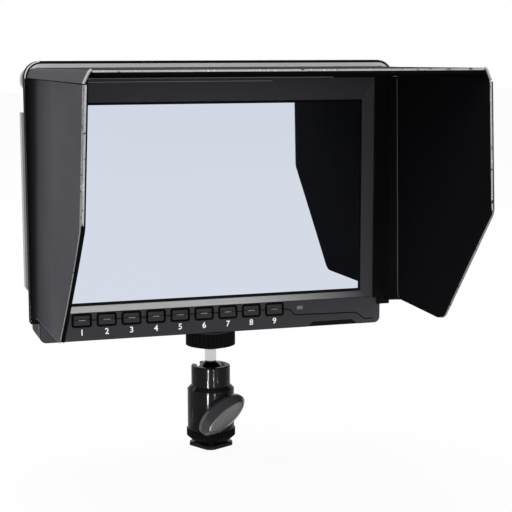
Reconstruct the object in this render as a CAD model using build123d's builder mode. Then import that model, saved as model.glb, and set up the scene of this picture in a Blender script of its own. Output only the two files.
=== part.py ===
from build123d import *
import os
from math import atan2, cos, degrees, radians, sin

# Field monitor with a folding sun hood, on a small ball head with a shoe foot.
# Millimetres. X runs to the viewer's right, Y away from the viewer, Z up.
# The origin is the middle of the shoe foot's underside, below the ball head.
# On the monitor, depth is measured back from its front face and height up from its bottom edge.

# ---- ball head, from the foot up ----
foot_side = 18.4
foot_across_clips = 22.4
foot_thickness = 2.0
foot_turn = 27.7
foot_chamfer = 0.4
foot_stud_radius = 4.0
running_gap = 0.05
shoe_lip_gap = 1.9
ring_radius = 12.7
ring_height = 5.4
ring_foot_radius = 10.6
ring_slope_height = 2.0
ring_teeth = 40
tooth_radius = 0.45
seat_gap = 0.2
barrel_radius = 12.2
barrel_height = 23.1
barrel_floor = 4.4
shoulder_chamfer = 2.0
collar_radius = 10.15
collar_height = 10.4
collar_round = 0.8
ball_radius = 7.2
ball_below_rim = 4.6
ball_gap = 0.06
mouth_depth = 1.5
mouth_throat_radius = 6.6
mouth_rim_radius = 7.6
slot_azimuth = 128.0
stem_radius = 3.0
slot_side_gap = 0.3
disc_above_ball = 13.6
disc_foot_radius = 5.0
disc_radius = 12.85
disc_cone_height = 2.1
disc_rim_height = 7.1
disc_teeth = 36
disc_pad_radius = 12.0
disc_pad_thickness = 0.8
pad_gap = 0.1
stud_radius = 3.1
stud_grip = 6.5
stud_chamfer = 0.5
clamp_azimuth = -83.7
clamp_screw_radius = 2.4
clamp_tip_length = 3.0
knob_length = 28.0
knob_width = 13.6
knob_depth = 8.0
knob_face_length = 22.4
knob_face_width = 7.0
knob_straight_depth = 3.2
knob_off_barrel = 1.5
knob_turn = 42.0
knob_round = 0.9
knob_neck_radius = 5.0
knob_grip_depth = 6.0
knob_height_above_barrel_foot = 10.4
cup_gap = 0.1
cup_height = 6.0

# ---- monitor casing ----
stud_depth = 11.7
body_width = 180.0
body_height = 135.2
body_corner = 3.2
face_round = 0.8
shell_wall = 2.2
face_wall = 3.0
bezel_depth = 6.0
straight_depth = 26.6
body_depth = 29.0
back_wall = 2.4
back_inset = 1.6
bevel_side_margin = 5.0
bevel_top_margin = 7.9
bevel_bottom = 14.0
bevel_side_slope = 5.3
bevel_top_slope = 9.6
bevel_bottom_slope = 3.4
rail_low = 21.4
rail_below_top = 22.4
rail_front = 12.6
rail_back = 19.0
rail_proud = 0.1
lug_below_top = 0.6
lug_in_rail = 0.5
lug_height = 12.0
lug_round = 5.6
rim_groove_width = 0.6
rim_groove_depth = 0.4
rim_groove_inset = 3.0

# ---- keys and the light window ----
button_count = 9
button_pitch = 12.55
button_in_window = 10.5
button_height = 10.45
slot_width = 9.0
slot_height = 5.8
slot_corner = 0.9
button_gap = 0.45
button_proud = 0.3
button_step = 0.5
button_travel = 0.6
flange_lap = 0.5
flange_thickness = 0.6
flange_gap = 0.05
button_stem_radius = 1.2
button_stem_length = 0.4
switch_side = 4.0
switch_height = 0.8
switch_gap = 0.1
key_board_thickness = 1.0
key_board_margin = 3.0
key_board_over_slots = 1.2
switch_round = 0.6
window_lens_after_buttons = 13.9
window_lens_width = 3.4
window_lens_height = 2.0
window_lens_sunk = 0.1
recess_width = 28.8
recess_in_body = 12.4
recess_slope = 3.6
recess_height = 2.7
recess_depth = 1.0
pad_places = (-37.8, 34.5)
bottom_pad_width = 13.0
bottom_pad_depth = 12.0
bottom_pad_thickness = 0.9
bottom_pad_corner = 2.0

# ---- screen stack and boards ----
stack_gap = 0.1
glass_thickness = 1.2
glass_lap = 1.8
lcd_thickness = 2.6
tray_thickness = 1.6
tray_lip = 1.2
main_board_side_margin = 15.0
main_board_low = 20.0
main_board_top_margin = 25.2
chip_side = 17.0
chip_height = 1.4
coil_width = 10.0
coil_height = 14.0
main_board_depth = 13.4
main_board_thickness = 1.6
board_post_radius = 3.0
board_post_margin = 6.0
board_post_low = 24.0
nut_radius = 4.2
nut_height = 9.5
nut_boss_wall = 0.8
screw_radius = 1.2
screw_head_radius = 2.5
screw_head_height = 1.6
screw_boss_radius = 3.0
screw_tip_gap = 0.6
low_screw_side_margin = 10.0
low_screw_height = 8.0
high_screw_side_margin = 28.0
high_screw_top_margin = 11.0

# ---- back of the monitor ----
plate_width = 62.0
plate_height = 74.0
plate_top_margin = 24.2
plate_thickness = 2.4
plate_corner = 4.0
plate_screw_side_margin = 4.0
plate_screw_end_margin = 5.0
guide_inner = 21.0
guide_wall = 3.0
guide_rise = 5.2
guide_lip = 1.6
guide_lip_thickness = 1.2
guide_shorter = 22.0
guide_top_gap = 5.0
latch_width = 11.6
latch_height = 7.6
latch_gap = 0.3
latch_travel = 2.5
latch_rise = 2.0
latch_in_plate = 4.0
latch_ledge = 1.0
latch_step_up = 0.8
spring_wire = 0.3
spring_width = 1.2
spring_sunk = 0.4
contact_pitch = 5.0
contact_width = 1.2
contact_height = 7.0
contact_rise = 1.6
contacts_in_plate = 14.0
socket_height = 30.0
hdmi_width = 14.4
hdmi_height = 5.6
hdmi_wall = 0.6
socket_floor = 1.5
socket_sunk = 0.2
hdmi_side_margins = (20.0, 42.0)
dc_side_margin = 44.0
dc_radius = 3.6
dc_bore_radius = 2.8
dc_pin_radius = 1.0
audio_side_margin = 24.0
audio_radius = 3.0
audio_bore_radius = 1.8
audio_bore_length = 11.0
vent_columns = 9
vent_pitch = 4.6
vent_width = 2.0
vent_height = 24.0
vent_side_margin = 32.0
vent_top_margin = 51.2

# ---- sun hood ----
frame_side_fit = 2.5
frame_top_fit = 0.7
frame_bottom = 10.3
frame_corner = 8.0
frame_wall = 2.0
frame_back = 5.5
frame_plate = 1.6
frame_opening_gap = 0.3
frame_opening_top_gap = 1.7
strip_bottom = 13.8
strip_foot_lap = 2.4
hood_wall = 2.0
hood_cloth = 0.8
board_thickness = 2.1
lining_thickness = 0.7
lining_inset = 0.6
hinge_low_height = 19.4
hinge_below_panel_top = 3.6
hinge_in_frame = 3.3
hinge_lean_in = 2.14
wall_root_in_frame = 2.8
wall_low = 12.2
wall_front_low = 15.8
panel_below_frame_top = 8.3
left_hinge_depth = 16.0
hinge_layer = 3.2
hinge_gap = 2.0
wall_to_hinge = 0.6
side_toe = 1.7
hood_reach = 127.1
top_front_reach = 125.8
side_corner_below_top = 56.8
side_tip_height = 16.1
side_tip_reach = 74.9
side_bottom_height = 16.4
side_corner_round = 5.0
right_tip_round = 4.5
left_tip_round = 1.2
top_hinge_below_frame_top = 4.7
top_rise = 0.45
top_edge_in_frame = 6.7
top_taper = 0.03
top_reach = 125.1
flap_thickness = 1.0
flap_edge_gap = 0.3
flap_above_panel = 0.4
flap_back_corner_in_frame = 2.3
flap_corner_drop = 0.4
flap_back_low_in_frame = 1.1
flap_front_corner_out = 1.28
flap_front_low_out = 3.28

# ---- sizes worked out from the ones above ----
ring_bottom = foot_thickness + shoe_lip_gap
barrel_bottom = ring_bottom + ring_height + seat_gap
barrel_top = barrel_bottom + barrel_height
collar_top = barrel_top + collar_height
ball_height = collar_top - ball_below_rim
cavity_radius = ball_radius + ball_gap
clamp_height = barrel_bottom + knob_height_above_barrel_foot
disc_bottom = ball_height + disc_above_ball
disc_top = disc_bottom + disc_cone_height + disc_rim_height
body_bottom = disc_top + disc_pad_thickness + pad_gap
front_y = -stud_depth
bevel_width = body_width - 2 * bevel_side_margin
bevel_top = body_height - bevel_top_margin
window_width = bevel_width - 2 * bevel_side_slope
window_bottom = bevel_bottom + bevel_bottom_slope
window_top = bevel_top - bevel_top_slope
rail_out = frame_wall + frame_side_fit + rail_proud
rail_high = body_height - rail_below_top
lug_out = rail_out - lug_in_rail
lug_high = body_height - lug_below_top
lug_low = lug_high - lug_height
button_first = button_in_window - window_width / 2
recess_right = body_width / 2 - recess_in_body
recess_left = recess_right - recess_width
main_board_width = body_width - 2 * main_board_side_margin
main_board_high = body_height - main_board_top_margin
low_screw_x = body_width / 2 - low_screw_side_margin
high_screw_x = body_width / 2 - high_screw_side_margin
high_screw_height = body_height - high_screw_top_margin
hdmi_places = [margin - body_width / 2 for margin in hdmi_side_margins]
dc_place = body_width / 2 - dc_side_margin
audio_place = body_width / 2 - audio_side_margin
vent_middle_x = body_width / 2 - vent_side_margin
vent_middle_height = body_height - vent_top_margin
frame_width = body_width + 2 * (frame_wall + frame_side_fit)
frame_top = body_height + frame_wall + frame_top_fit
frame_opening_width = bevel_width + 2 * frame_opening_gap
frame_opening_top = bevel_top + frame_opening_top_gap
panel_top = frame_top - panel_below_frame_top
hinge_high_height = panel_top - hinge_below_panel_top
hinge_low_half = frame_width / 2 - hinge_in_frame
hinge_high_half = hinge_low_half - hinge_lean_in
wall_root_inner = frame_width / 2 - wall_root_in_frame
side_corner_height = panel_top - side_corner_below_top
top_hinge_height = frame_top - top_hinge_below_frame_top
top_back_half = frame_width / 2 - top_edge_in_frame
hinge_lean = degrees(atan2(hinge_low_half - hinge_high_half, hinge_high_height - hinge_low_height))
panel_thickness = board_thickness + lining_thickness
right_hinge_depth = left_hinge_depth + hinge_layer
top_hinge_depth = right_hinge_depth + hinge_layer
flange_front = face_wall + flange_gap
switch_top = flange_front + flange_thickness + button_stem_length + button_travel + switch_gap
key_board_front = switch_top + switch_height
button_places = [button_first + button_pitch * step for step in range(button_count)]
window_lens_x = button_places[-1] + window_lens_after_buttons
plate_back = body_depth + plate_thickness
plate_high = body_height - plate_top_margin
plate_low = plate_high - plate_height
plate_middle = (plate_low + plate_high) / 2


def at_depth(depth):
    """Plane facing the viewer, with X across and heights above the monitor's bottom edge."""
    return Plane(origin=(0, front_y + depth, body_bottom), x_dir=(1, 0, 0), z_dir=(0, -1, 0))


def across(azimuth, height):
    """Plane through the ball head's axis, facing out along the azimuth."""
    turn = radians(azimuth)
    outward = Vector(cos(turn), sin(turn), 0)
    return Plane(origin=(0, 0, height), x_dir=(-sin(turn), cos(turn), 0), z_dir=outward)


def save(piece, name):
    piece.label = name
    export_step(piece, "parts/" + name + ".step")


def outline(width, low, high, corner):
    """Rounded rectangle from a low to a high edge, centred on X."""
    with Locations((0, (low + high) / 2)):
        RectangleRounded(width, high - low, corner)


def hinge_inner_half(height):
    """Half the width between the side hinge lines, at one height."""
    rise = (height - hinge_low_height) / (hinge_high_height - hinge_low_height)
    return hinge_low_half + rise * (hinge_high_half - hinge_low_half)


os.makedirs("parts", exist_ok=True)

# ================= ball head =================
with BuildPart() as shoe_foot:
    with BuildSketch(Plane.XY):
        Rectangle(foot_side, foot_side, rotation=foot_turn)
        Rectangle(foot_across_clips, foot_across_clips, rotation=foot_turn + 45, mode=Mode.INTERSECT)
    extrude(amount=foot_thickness)
    chamfer(shoe_foot.edges().filter_by(Plane.XY).group_by(Axis.Z)[-1], foot_chamfer)
    with BuildSketch(Plane.XY.offset(foot_thickness)):
        Circle(foot_stud_radius)
    extrude(amount=barrel_bottom + barrel_floor - seat_gap - foot_thickness)
save(shoe_foot.part, "shoe_foot")

with BuildPart() as lock_ring:
    with BuildSketch(Plane.XY.offset(ring_bottom)):
        Circle(ring_foot_radius)
    with BuildSketch(Plane.XY.offset(ring_bottom + ring_slope_height)):
        Circle(ring_radius)
    loft()
    with BuildSketch(Plane.XY.offset(ring_bottom + ring_slope_height)):
        Circle(ring_radius)
    extrude(amount=ring_height - ring_slope_height)
    with BuildSketch(Plane.XY.offset(ring_bottom)):
        with PolarLocations(ring_radius, ring_teeth):
            Circle(tooth_radius)
        Circle(foot_stud_radius + running_gap)
    extrude(amount=ring_height, mode=Mode.SUBTRACT)
save(lock_ring.part, "lock_ring")

with BuildPart() as ball_barrel:
    with BuildSketch(Plane.XY.offset(barrel_bottom)):
        Circle(barrel_radius)
    extrude(amount=barrel_height)
    chamfer(ball_barrel.edges().filter_by(GeomType.CIRCLE).group_by(Axis.Z)[-1], shoulder_chamfer)
    with BuildSketch(Plane.XY.offset(barrel_top)):
        Circle(collar_radius)
    extrude(amount=collar_height)
    fillet(ball_barrel.edges().filter_by(GeomType.CIRCLE).group_by(Axis.Z)[-1], collar_round)
    with BuildSketch(Plane.XY.offset(barrel_bottom + barrel_floor)):
        Circle(cavity_radius)
    extrude(amount=ball_height - barrel_bottom - barrel_floor, mode=Mode.SUBTRACT)
    with Locations((0, 0, ball_height)):
        Sphere(cavity_radius, mode=Mode.SUBTRACT)
    with BuildSketch(Plane.XY.offset(collar_top - mouth_depth)):
        Circle(mouth_throat_radius)
    with BuildSketch(Plane.XY.offset(collar_top)):
        Circle(mouth_rim_radius)
    loft(mode=Mode.SUBTRACT)
    with BuildSketch(Plane.XY.offset(barrel_bottom)):
        Circle(foot_stud_radius + running_gap)
    extrude(amount=barrel_floor, mode=Mode.SUBTRACT)
    with BuildSketch(across(slot_azimuth, ball_height)):
        slot_half = stem_radius + slot_side_gap
        Circle(slot_half)
        with Locations((0, collar_height / 2)):
            Rectangle(2 * slot_half, collar_height)
    extrude(amount=collar_radius + 1, mode=Mode.SUBTRACT)
    with BuildSketch(across(clamp_azimuth, clamp_height)):
        Circle(clamp_screw_radius + running_gap)
    extrude(amount=barrel_radius + 1, mode=Mode.SUBTRACT)
save(ball_barrel.part, "ball_barrel")

cup_bottom = clamp_height + clamp_screw_radius + cup_gap
with BuildPart() as pressure_cup:
    with BuildSketch(Plane.XY.offset(cup_bottom)):
        Circle(cavity_radius - cup_gap)
    extrude(amount=ball_height - ball_radius - cup_bottom + cup_height / 3)
    with Locations((0, 0, ball_height)):
        Sphere(cavity_radius, mode=Mode.SUBTRACT)
save(pressure_cup.part, "pressure_cup")

with BuildPart() as ball_stem:
    with Locations((0, 0, ball_height)):
        Sphere(ball_radius)
    with BuildSketch(Plane.XY.offset(ball_height)):
        Circle(stem_radius)
    extrude(amount=disc_bottom - ball_height)
    with BuildSketch(Plane.XY.offset(disc_bottom)):
        Circle(stud_radius)
    extrude(amount=body_bottom + stud_grip - disc_bottom)
    chamfer(ball_stem.edges().filter_by(GeomType.CIRCLE).sort_by(Axis.Z)[-1], stud_chamfer)
save(ball_stem.part, "ball_stem")

with BuildPart() as lock_disc:
    with BuildSketch(Plane.XY.offset(disc_bottom)):
        Circle(disc_foot_radius)
    with BuildSketch(Plane.XY.offset(disc_bottom + disc_cone_height)):
        Circle(disc_radius)
    loft()
    with BuildSketch(Plane.XY.offset(disc_bottom + disc_cone_height)):
        Circle(disc_radius)
    extrude(amount=disc_rim_height)
    with BuildSketch(Plane.XY.offset(disc_bottom)):
        with PolarLocations(disc_radius, disc_teeth):
            Circle(tooth_radius)
        Circle(stud_radius + running_gap)
    extrude(amount=disc_cone_height + disc_rim_height, mode=Mode.SUBTRACT)
save(lock_disc.part, "lock_disc")

with BuildPart() as disc_pad:
    with BuildSketch(Plane.XY.offset(disc_top)):
        Circle(disc_pad_radius)
        Circle(stud_radius + running_gap, mode=Mode.SUBTRACT)
    extrude(amount=disc_pad_thickness)
save(disc_pad.part, "disc_pad")

knob_face = across(clamp_azimuth, clamp_height).offset(barrel_radius + knob_off_barrel)
with BuildPart() as wing_knob:
    with BuildSketch(knob_face):
        Ellipse(knob_length / 2, knob_width / 2, rotation=knob_turn)
    extrude(amount=knob_straight_depth)
    with BuildSketch(knob_face.offset(knob_straight_depth)):
        Ellipse(knob_length / 2, knob_width / 2, rotation=knob_turn)
    with BuildSketch(knob_face.offset(knob_depth)):
        Ellipse(knob_face_length / 2, knob_face_width / 2, rotation=knob_turn)
    loft()
    outward_axis = Axis(knob_face.origin, knob_face.z_dir)
    fillet(wing_knob.edges().group_by(outward_axis)[-1], knob_round)
    with BuildSketch(knob_face):
        Circle(knob_neck_radius)
    extrude(amount=knob_depth / 2)
    with BuildSketch(knob_face):
        Circle(clamp_screw_radius)
    extrude(amount=knob_grip_depth, mode=Mode.SUBTRACT)
save(wing_knob.part, "wing_knob")

with BuildPart() as clamp_screw:
    with BuildSketch(across(clamp_azimuth, clamp_height).offset(clamp_tip_length)):
        Circle(clamp_screw_radius)
    extrude(amount=barrel_radius + knob_off_barrel + knob_grip_depth - clamp_tip_length)
    with BuildSketch(across(clamp_azimuth, clamp_height)):
        Circle(clamp_screw_radius / 3)
    with BuildSketch(across(clamp_azimuth, clamp_height).offset(clamp_tip_length)):
        Circle(clamp_screw_radius)
    loft()
save(clamp_screw.part, "clamp_screw")

# ================= monitor casing =================
screw_places = [(side * low_screw_x, low_screw_height) for side in (-1, 1)]
screw_places += [(side * high_screw_x, high_screw_height) for side in (-1, 0, 1)]
groove_low = 6.3
groove_foot = 2.6
groove_start = button_places[-1] + slot_width / 2
groove_points = [
    (button_places[0] - slot_width / 2 - rim_groove_width, button_height),
    (groove_start + rim_groove_width, button_height),
    (groove_start + 4.3, button_height - 1),
    (groove_start + 6.5, groove_low + rim_groove_width),
    (recess_right - 1.4, groove_low),
    (recess_right + recess_slope, groove_foot),
    (body_width / 2 - rim_groove_inset - 1, groove_foot),
]

with BuildPart() as front_bezel:
    with BuildSketch(at_depth(0)):
        outline(body_width, 0, body_height, body_corner)
    extrude(amount=-bezel_depth)
    fillet(front_bezel.faces().sort_by(Axis.Y)[0].edges(), face_round)
    with BuildSketch(at_depth(face_wall)):
        outline(body_width - 2 * shell_wall, shell_wall, body_height - shell_wall, body_corner - shell_wall)
    extrude(amount=-(bezel_depth - face_wall), mode=Mode.SUBTRACT)
    with BuildSketch(at_depth(0)):
        with Locations((0, (bevel_bottom + bevel_top) / 2)):
            Rectangle(bevel_width, bevel_top - bevel_bottom)
    with BuildSketch(at_depth(face_wall)):
        with Locations((0, (window_bottom + window_top) / 2)):
            Rectangle(window_width, window_top - window_bottom)
    loft(mode=Mode.SUBTRACT)
    with BuildSketch(at_depth(face_wall)):
        with Locations(*screw_places):
            Circle(screw_boss_radius)
    extrude(amount=-(bezel_depth - face_wall))
    with BuildSketch(at_depth(face_wall)):
        with Locations(*screw_places):
            Circle(screw_radius + running_gap)
    extrude(amount=-(bezel_depth - face_wall), mode=Mode.SUBTRACT)
    with BuildSketch(at_depth(face_wall)):
        for place in (button_places[0], button_places[-2]):
            with Locations((place + button_pitch / 2, button_height)):
                Circle((button_pitch - slot_width) / 2 - flange_lap - seat_gap)
    extrude(amount=-(key_board_front - face_wall))
    with BuildSketch(at_depth(0)):
        with Locations(*[(x, button_height) for x in button_places]):
            RectangleRounded(slot_width, slot_height, slot_corner)
        with Locations((window_lens_x, button_height)):
            Rectangle(window_lens_width, window_lens_height)
    extrude(amount=-face_wall, mode=Mode.SUBTRACT)
    with BuildSketch(at_depth(0)):
        with BuildLine():
            Polyline(*groove_points)
        trace(line_width=rim_groove_width)
    extrude(amount=-rim_groove_depth, mode=Mode.SUBTRACT)
    with BuildSketch(at_depth(0)):
        with BuildLine():
            Polyline(
                (recess_left, 0),
                (recess_left + recess_slope, recess_height),
                (recess_right - recess_slope, recess_height),
                (recess_right, 0),
                close=True,
            )
        make_face()
    extrude(amount=-recess_depth, mode=Mode.SUBTRACT)
save(front_bezel.part, "front_bezel")

for number, place in enumerate(button_places, start=1):
    with BuildPart() as button:
        with BuildSketch(at_depth(-button_proud)):
            with Locations((place, button_height)):
                RectangleRounded(slot_width - 2 * button_gap, slot_height - 2 * button_gap, slot_corner / 2)
        extrude(amount=-(button_proud + flange_front))
        with BuildSketch(at_depth(-button_proud)):
            with Locations((place, button_height + slot_height / 2)):
                Rectangle(slot_width, slot_height * 0.9)
        extrude(amount=-button_step, mode=Mode.SUBTRACT)
        with BuildSketch(at_depth(flange_front)):
            with Locations((place, button_height)):
                RectangleRounded(slot_width + 2 * flange_lap, slot_height + 2 * flange_lap, slot_corner)
        extrude(amount=-flange_thickness)
        with BuildSketch(at_depth(flange_front + flange_thickness)):
            with Locations((place, button_height)):
                Circle(button_stem_radius)
        extrude(amount=-button_stem_length)
    save(button.part, "button_" + str(number))

with BuildPart() as status_window:
    with BuildSketch(at_depth(window_lens_sunk)):
        with Locations((window_lens_x, button_height)):
            Rectangle(window_lens_width - 2 * running_gap, window_lens_height - 2 * running_gap)
    extrude(amount=-face_wall)
    with BuildSketch(at_depth(flange_front)):
        with Locations((window_lens_x, button_height)):
            Rectangle(window_lens_width + 2 * flange_lap, window_lens_height + 2 * flange_lap)
    extrude(amount=-flange_thickness)
save(status_window.part, "status_window")

with BuildPart() as key_board:
    board_left = button_places[0] - slot_width / 2 - key_board_margin
    board_right = window_lens_x + key_board_margin
    with BuildSketch(at_depth(key_board_front)):
        with Locations(((board_left + board_right) / 2, button_height)):
            Rectangle(board_right - board_left, slot_height + 2 * key_board_over_slots)
    extrude(amount=-key_board_thickness)
    with BuildSketch(at_depth(switch_top)):
        with Locations(*[(x, button_height) for x in button_places]):
            RectangleRounded(switch_side, switch_side, switch_round)
    extrude(amount=-switch_height)
save(key_board.part, "key_board")

glass_front = face_wall + running_gap
with BuildPart() as screen_glass:
    with BuildSketch(at_depth(glass_front)):
        with Locations((0, (window_bottom + window_top) / 2)):
            Rectangle(window_width + 2 * glass_lap, window_top - window_bottom + 2 * glass_lap)
    extrude(amount=-glass_thickness)
save(screen_glass.part, "screen_glass")

lcd_front = glass_front + glass_thickness + stack_gap
with BuildPart() as lcd_panel:
    with BuildSketch(at_depth(lcd_front)):
        with Locations((0, (window_bottom + window_top) / 2)):
            Rectangle(window_width + glass_lap, window_top - window_bottom + glass_lap)
    extrude(amount=-lcd_thickness)
save(lcd_panel.part, "lcd_panel")

tray_front = lcd_front + lcd_thickness + stack_gap
with BuildPart() as backlight_tray:
    with BuildSketch(at_depth(tray_front)):
        with Locations((0, (window_bottom + window_top) / 2)):
            Rectangle(window_width + glass_lap, window_top - window_bottom + glass_lap)
    extrude(amount=-tray_thickness - tray_lip)
    with BuildSketch(at_depth(tray_front + tray_thickness)):
        with Locations((0, (window_bottom + window_top) / 2)):
            Rectangle(window_width - tray_lip, window_top - window_bottom - tray_lip)
    extrude(amount=-tray_lip, mode=Mode.SUBTRACT)
save(backlight_tray.part, "backlight_tray")

post_places = [(side * (main_board_width / 2 - board_post_margin), height) for side in (-1, 1)
               for height in (main_board_low + board_post_low, main_board_high - board_post_margin)]
with BuildPart() as main_board:
    with BuildSketch(at_depth(main_board_depth)):
        with Locations((0, (main_board_low + main_board_high) / 2)):
            Rectangle(main_board_width, main_board_high - main_board_low)
    extrude(amount=-main_board_thickness)
    board_middle = (main_board_low + main_board_high) / 2
    board_tall = main_board_high - main_board_low
    with BuildSketch(at_depth(main_board_depth + main_board_thickness)):
        for across_share, up_share in ((-0.13, 0.2), (0.12, 0.05)):
            with Locations((across_share * main_board_width, board_middle + up_share * board_tall)):
                Rectangle(chip_side, chip_side)
        for across_share, up_share in ((0.27, 0.3), (-0.31, -0.05)):
            with Locations((across_share * main_board_width, board_middle + up_share * board_tall)):
                Rectangle(coil_width, coil_height)
    extrude(amount=-chip_height)
save(main_board.part, "main_board")

board_back = main_board_depth + main_board_thickness
inner_back = body_depth - back_wall
with BuildPart() as rear_shell:
    with BuildSketch(at_depth(bezel_depth)):
        outline(body_width, 0, body_height, body_corner)
    extrude(amount=-(straight_depth - bezel_depth))
    with BuildSketch(at_depth(straight_depth)):
        outline(body_width, 0, body_height, body_corner)
    with BuildSketch(at_depth(body_depth)):
        outline(body_width - 2 * back_inset, back_inset, body_height - back_inset, body_corner)
    loft()
    for side in (-1, 1):
        with BuildSketch(at_depth(rail_front)):
            with BuildLine():
                Polyline(
                    (side * (body_width / 2 - shell_wall), rail_low),
                    (side * (body_width / 2 + rail_out / 4), rail_low),
                    (side * (body_width / 2 + rail_out), rail_low + rail_out),
                    (side * (body_width / 2 + rail_out), rail_high),
                    (side * (body_width / 2 - shell_wall), rail_high),
                    close=True,
                )
            make_face()
            with Locations((side * (body_width / 2 + lug_out - lug_round), (lug_low + lug_high) / 2)):
                RectangleRounded(2 * lug_round, lug_high - lug_low, lug_round - 0.1)
        extrude(amount=-(rail_back - rail_front))
    inner_width = body_width - 2 * shell_wall
    inner_corner = body_corner - shell_wall
    with BuildSketch(at_depth(bezel_depth)):
        outline(inner_width, shell_wall, body_height - shell_wall, inner_corner)
    extrude(amount=-(inner_back - bezel_depth), mode=Mode.SUBTRACT)
    with BuildSketch(at_depth(bezel_depth)):
        with Locations(*screw_places):
            Circle(screw_boss_radius)
    extrude(amount=-(inner_back - bezel_depth + back_wall / 2))
    with BuildSketch(at_depth(board_back)):
        with Locations(*post_places):
            Circle(board_post_radius)
    extrude(amount=-(inner_back - board_back + back_wall / 2))
    with BuildSketch(Plane.XY.offset(body_bottom)):
        Circle(nut_radius + nut_boss_wall)
    extrude(amount=nut_height)
    with BuildSketch(Plane.XY.offset(body_bottom)):
        Circle(nut_radius)
    extrude(amount=nut_height, mode=Mode.SUBTRACT)
    with BuildSketch(at_depth(bezel_depth)):
        with Locations(*screw_places):
            Circle(screw_radius + 2 * running_gap)
    extrude(amount=-body_depth, mode=Mode.SUBTRACT)
    with BuildSketch(at_depth(body_depth - screw_head_height)):
        with Locations(*screw_places):
            Circle(screw_head_radius + button_gap)
    extrude(amount=-body_depth, mode=Mode.SUBTRACT)
    with BuildSketch(at_depth(inner_back - 0.5)):
        with Locations(*[(x, socket_height) for x in hdmi_places]):
            Rectangle(hdmi_width + 2 * (hdmi_wall + seat_gap), hdmi_height + 2 * (hdmi_wall + seat_gap))
        with Locations((dc_place, socket_height)):
            Circle(dc_radius + seat_gap)
        with Locations((audio_place, socket_height)):
            Circle(audio_radius + seat_gap)
        for side in (-1, 1):
            with Locations((side * vent_middle_x, vent_middle_height)):
                with GridLocations(vent_pitch, 1, vent_columns, 1):
                    SlotOverall(vent_height, vent_width, rotation=90)
    extrude(amount=-body_depth, mode=Mode.SUBTRACT)
save(rear_shell.part, "rear_shell")

with BuildPart() as tripod_nut:
    with BuildSketch(Plane.XY.offset(body_bottom)):
        Circle(nut_radius - running_gap)
        Circle(stud_radius + running_gap, mode=Mode.SUBTRACT)
    extrude(amount=nut_height)
save(tripod_nut.part, "tripod_nut")

with BuildPart() as case_screws:
    with BuildSketch(at_depth(body_depth - screw_head_height)):
        with Locations(*screw_places):
            Circle(screw_head_radius)
    extrude(amount=-screw_head_height)
    with BuildSketch(at_depth(face_wall + screw_tip_gap)):
        with Locations(*screw_places):
            Circle(screw_radius)
    extrude(amount=-(body_depth - screw_head_height - face_wall - screw_tip_gap))
save(case_screws.part, "case_screws")

with BuildPart() as bottom_pads:
    with BuildSketch(Plane.XY.offset(body_bottom - bottom_pad_thickness)):
        with Locations(*[(x, 0) for x in pad_places]):
            RectangleRounded(bottom_pad_width, bottom_pad_depth, bottom_pad_corner)
    extrude(amount=bottom_pad_thickness)
save(bottom_pads.part, "bottom_pads")

# ================= sockets and battery plate =================
for name, place in zip(("hdmi_in", "hdmi_out"), hdmi_places):
    with BuildPart() as socket:
        with BuildSketch(at_depth(board_back)):
            with Locations((place, socket_height)):
                Rectangle(hdmi_width + 2 * hdmi_wall, hdmi_height + 2 * hdmi_wall)
        extrude(amount=-(body_depth - board_back - socket_sunk))
        with BuildSketch(at_depth(board_back + socket_floor)):
            with Locations((place, socket_height)):
                Rectangle(hdmi_width, hdmi_height)
        extrude(amount=-body_depth, mode=Mode.SUBTRACT)
    save(socket.part, name)

with BuildPart() as dc_jack:
    with BuildSketch(at_depth(board_back)):
        with Locations((dc_place, socket_height)):
            Circle(dc_radius)
    extrude(amount=-(body_depth - board_back - socket_sunk))
    with BuildSketch(at_depth(board_back + socket_floor)):
        with Locations((dc_place, socket_height)):
            Circle(dc_bore_radius)
            Circle(dc_pin_radius, mode=Mode.SUBTRACT)
    extrude(amount=-body_depth, mode=Mode.SUBTRACT)
save(dc_jack.part, "dc_jack")

with BuildPart() as audio_jack:
    with BuildSketch(at_depth(board_back)):
        with Locations((audio_place, socket_height)):
            Circle(audio_radius)
    extrude(amount=-(body_depth - board_back - socket_sunk))
    with BuildSketch(at_depth(body_depth - socket_sunk - audio_bore_length)):
        with Locations((audio_place, socket_height)):
            Circle(audio_bore_radius)
    extrude(amount=-body_depth, mode=Mode.SUBTRACT)
save(audio_jack.part, "audio_jack")

latch_middle = plate_low + latch_height / 2 + latch_travel + latch_in_plate
plate_screw_places = [(side * (plate_width / 2 - plate_screw_side_margin), height) for side in (-1, 1)
                      for height in (plate_low + plate_screw_end_margin,
                                     plate_high - plate_screw_end_margin)]
with BuildPart() as battery_plate:
    with BuildSketch(at_depth(body_depth)):
        with Locations((0, plate_middle)):
            RectangleRounded(plate_width, plate_height, plate_corner)
        with Locations((0, latch_middle - latch_travel / 2)):
            Rectangle(latch_width + 2 * latch_gap, latch_height + latch_travel + 2 * latch_gap,
                      mode=Mode.SUBTRACT)
        with Locations(*plate_screw_places):
            Circle(screw_head_radius + button_gap, mode=Mode.SUBTRACT)
    extrude(amount=-plate_thickness)
    guide_length = plate_height - guide_shorter
    guide_middle = plate_high - guide_top_gap - guide_length / 2
    with BuildSketch(at_depth(plate_back)):
        for side in (-1, 1):
            with Locations((side * (guide_inner + guide_wall / 2), guide_middle)):
                Rectangle(guide_wall, guide_length)
    extrude(amount=-guide_rise)
    with BuildSketch(at_depth(plate_back + guide_rise - guide_lip_thickness)):
        for side in (-1, 1):
            for height in (guide_middle - guide_length / 4, guide_middle + guide_length / 3):
                with Locations((side * (guide_inner - guide_lip / 2), height)):
                    Rectangle(guide_lip, guide_length / 5)
    extrude(amount=-guide_lip_thickness)
save(battery_plate.part, "battery_plate")

with BuildPart() as plate_screws:
    with BuildSketch(at_depth(body_depth)):
        with Locations(*plate_screw_places):
            Circle(screw_head_radius)
    extrude(amount=-screw_head_height)
save(plate_screws.part, "plate_screws")

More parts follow.
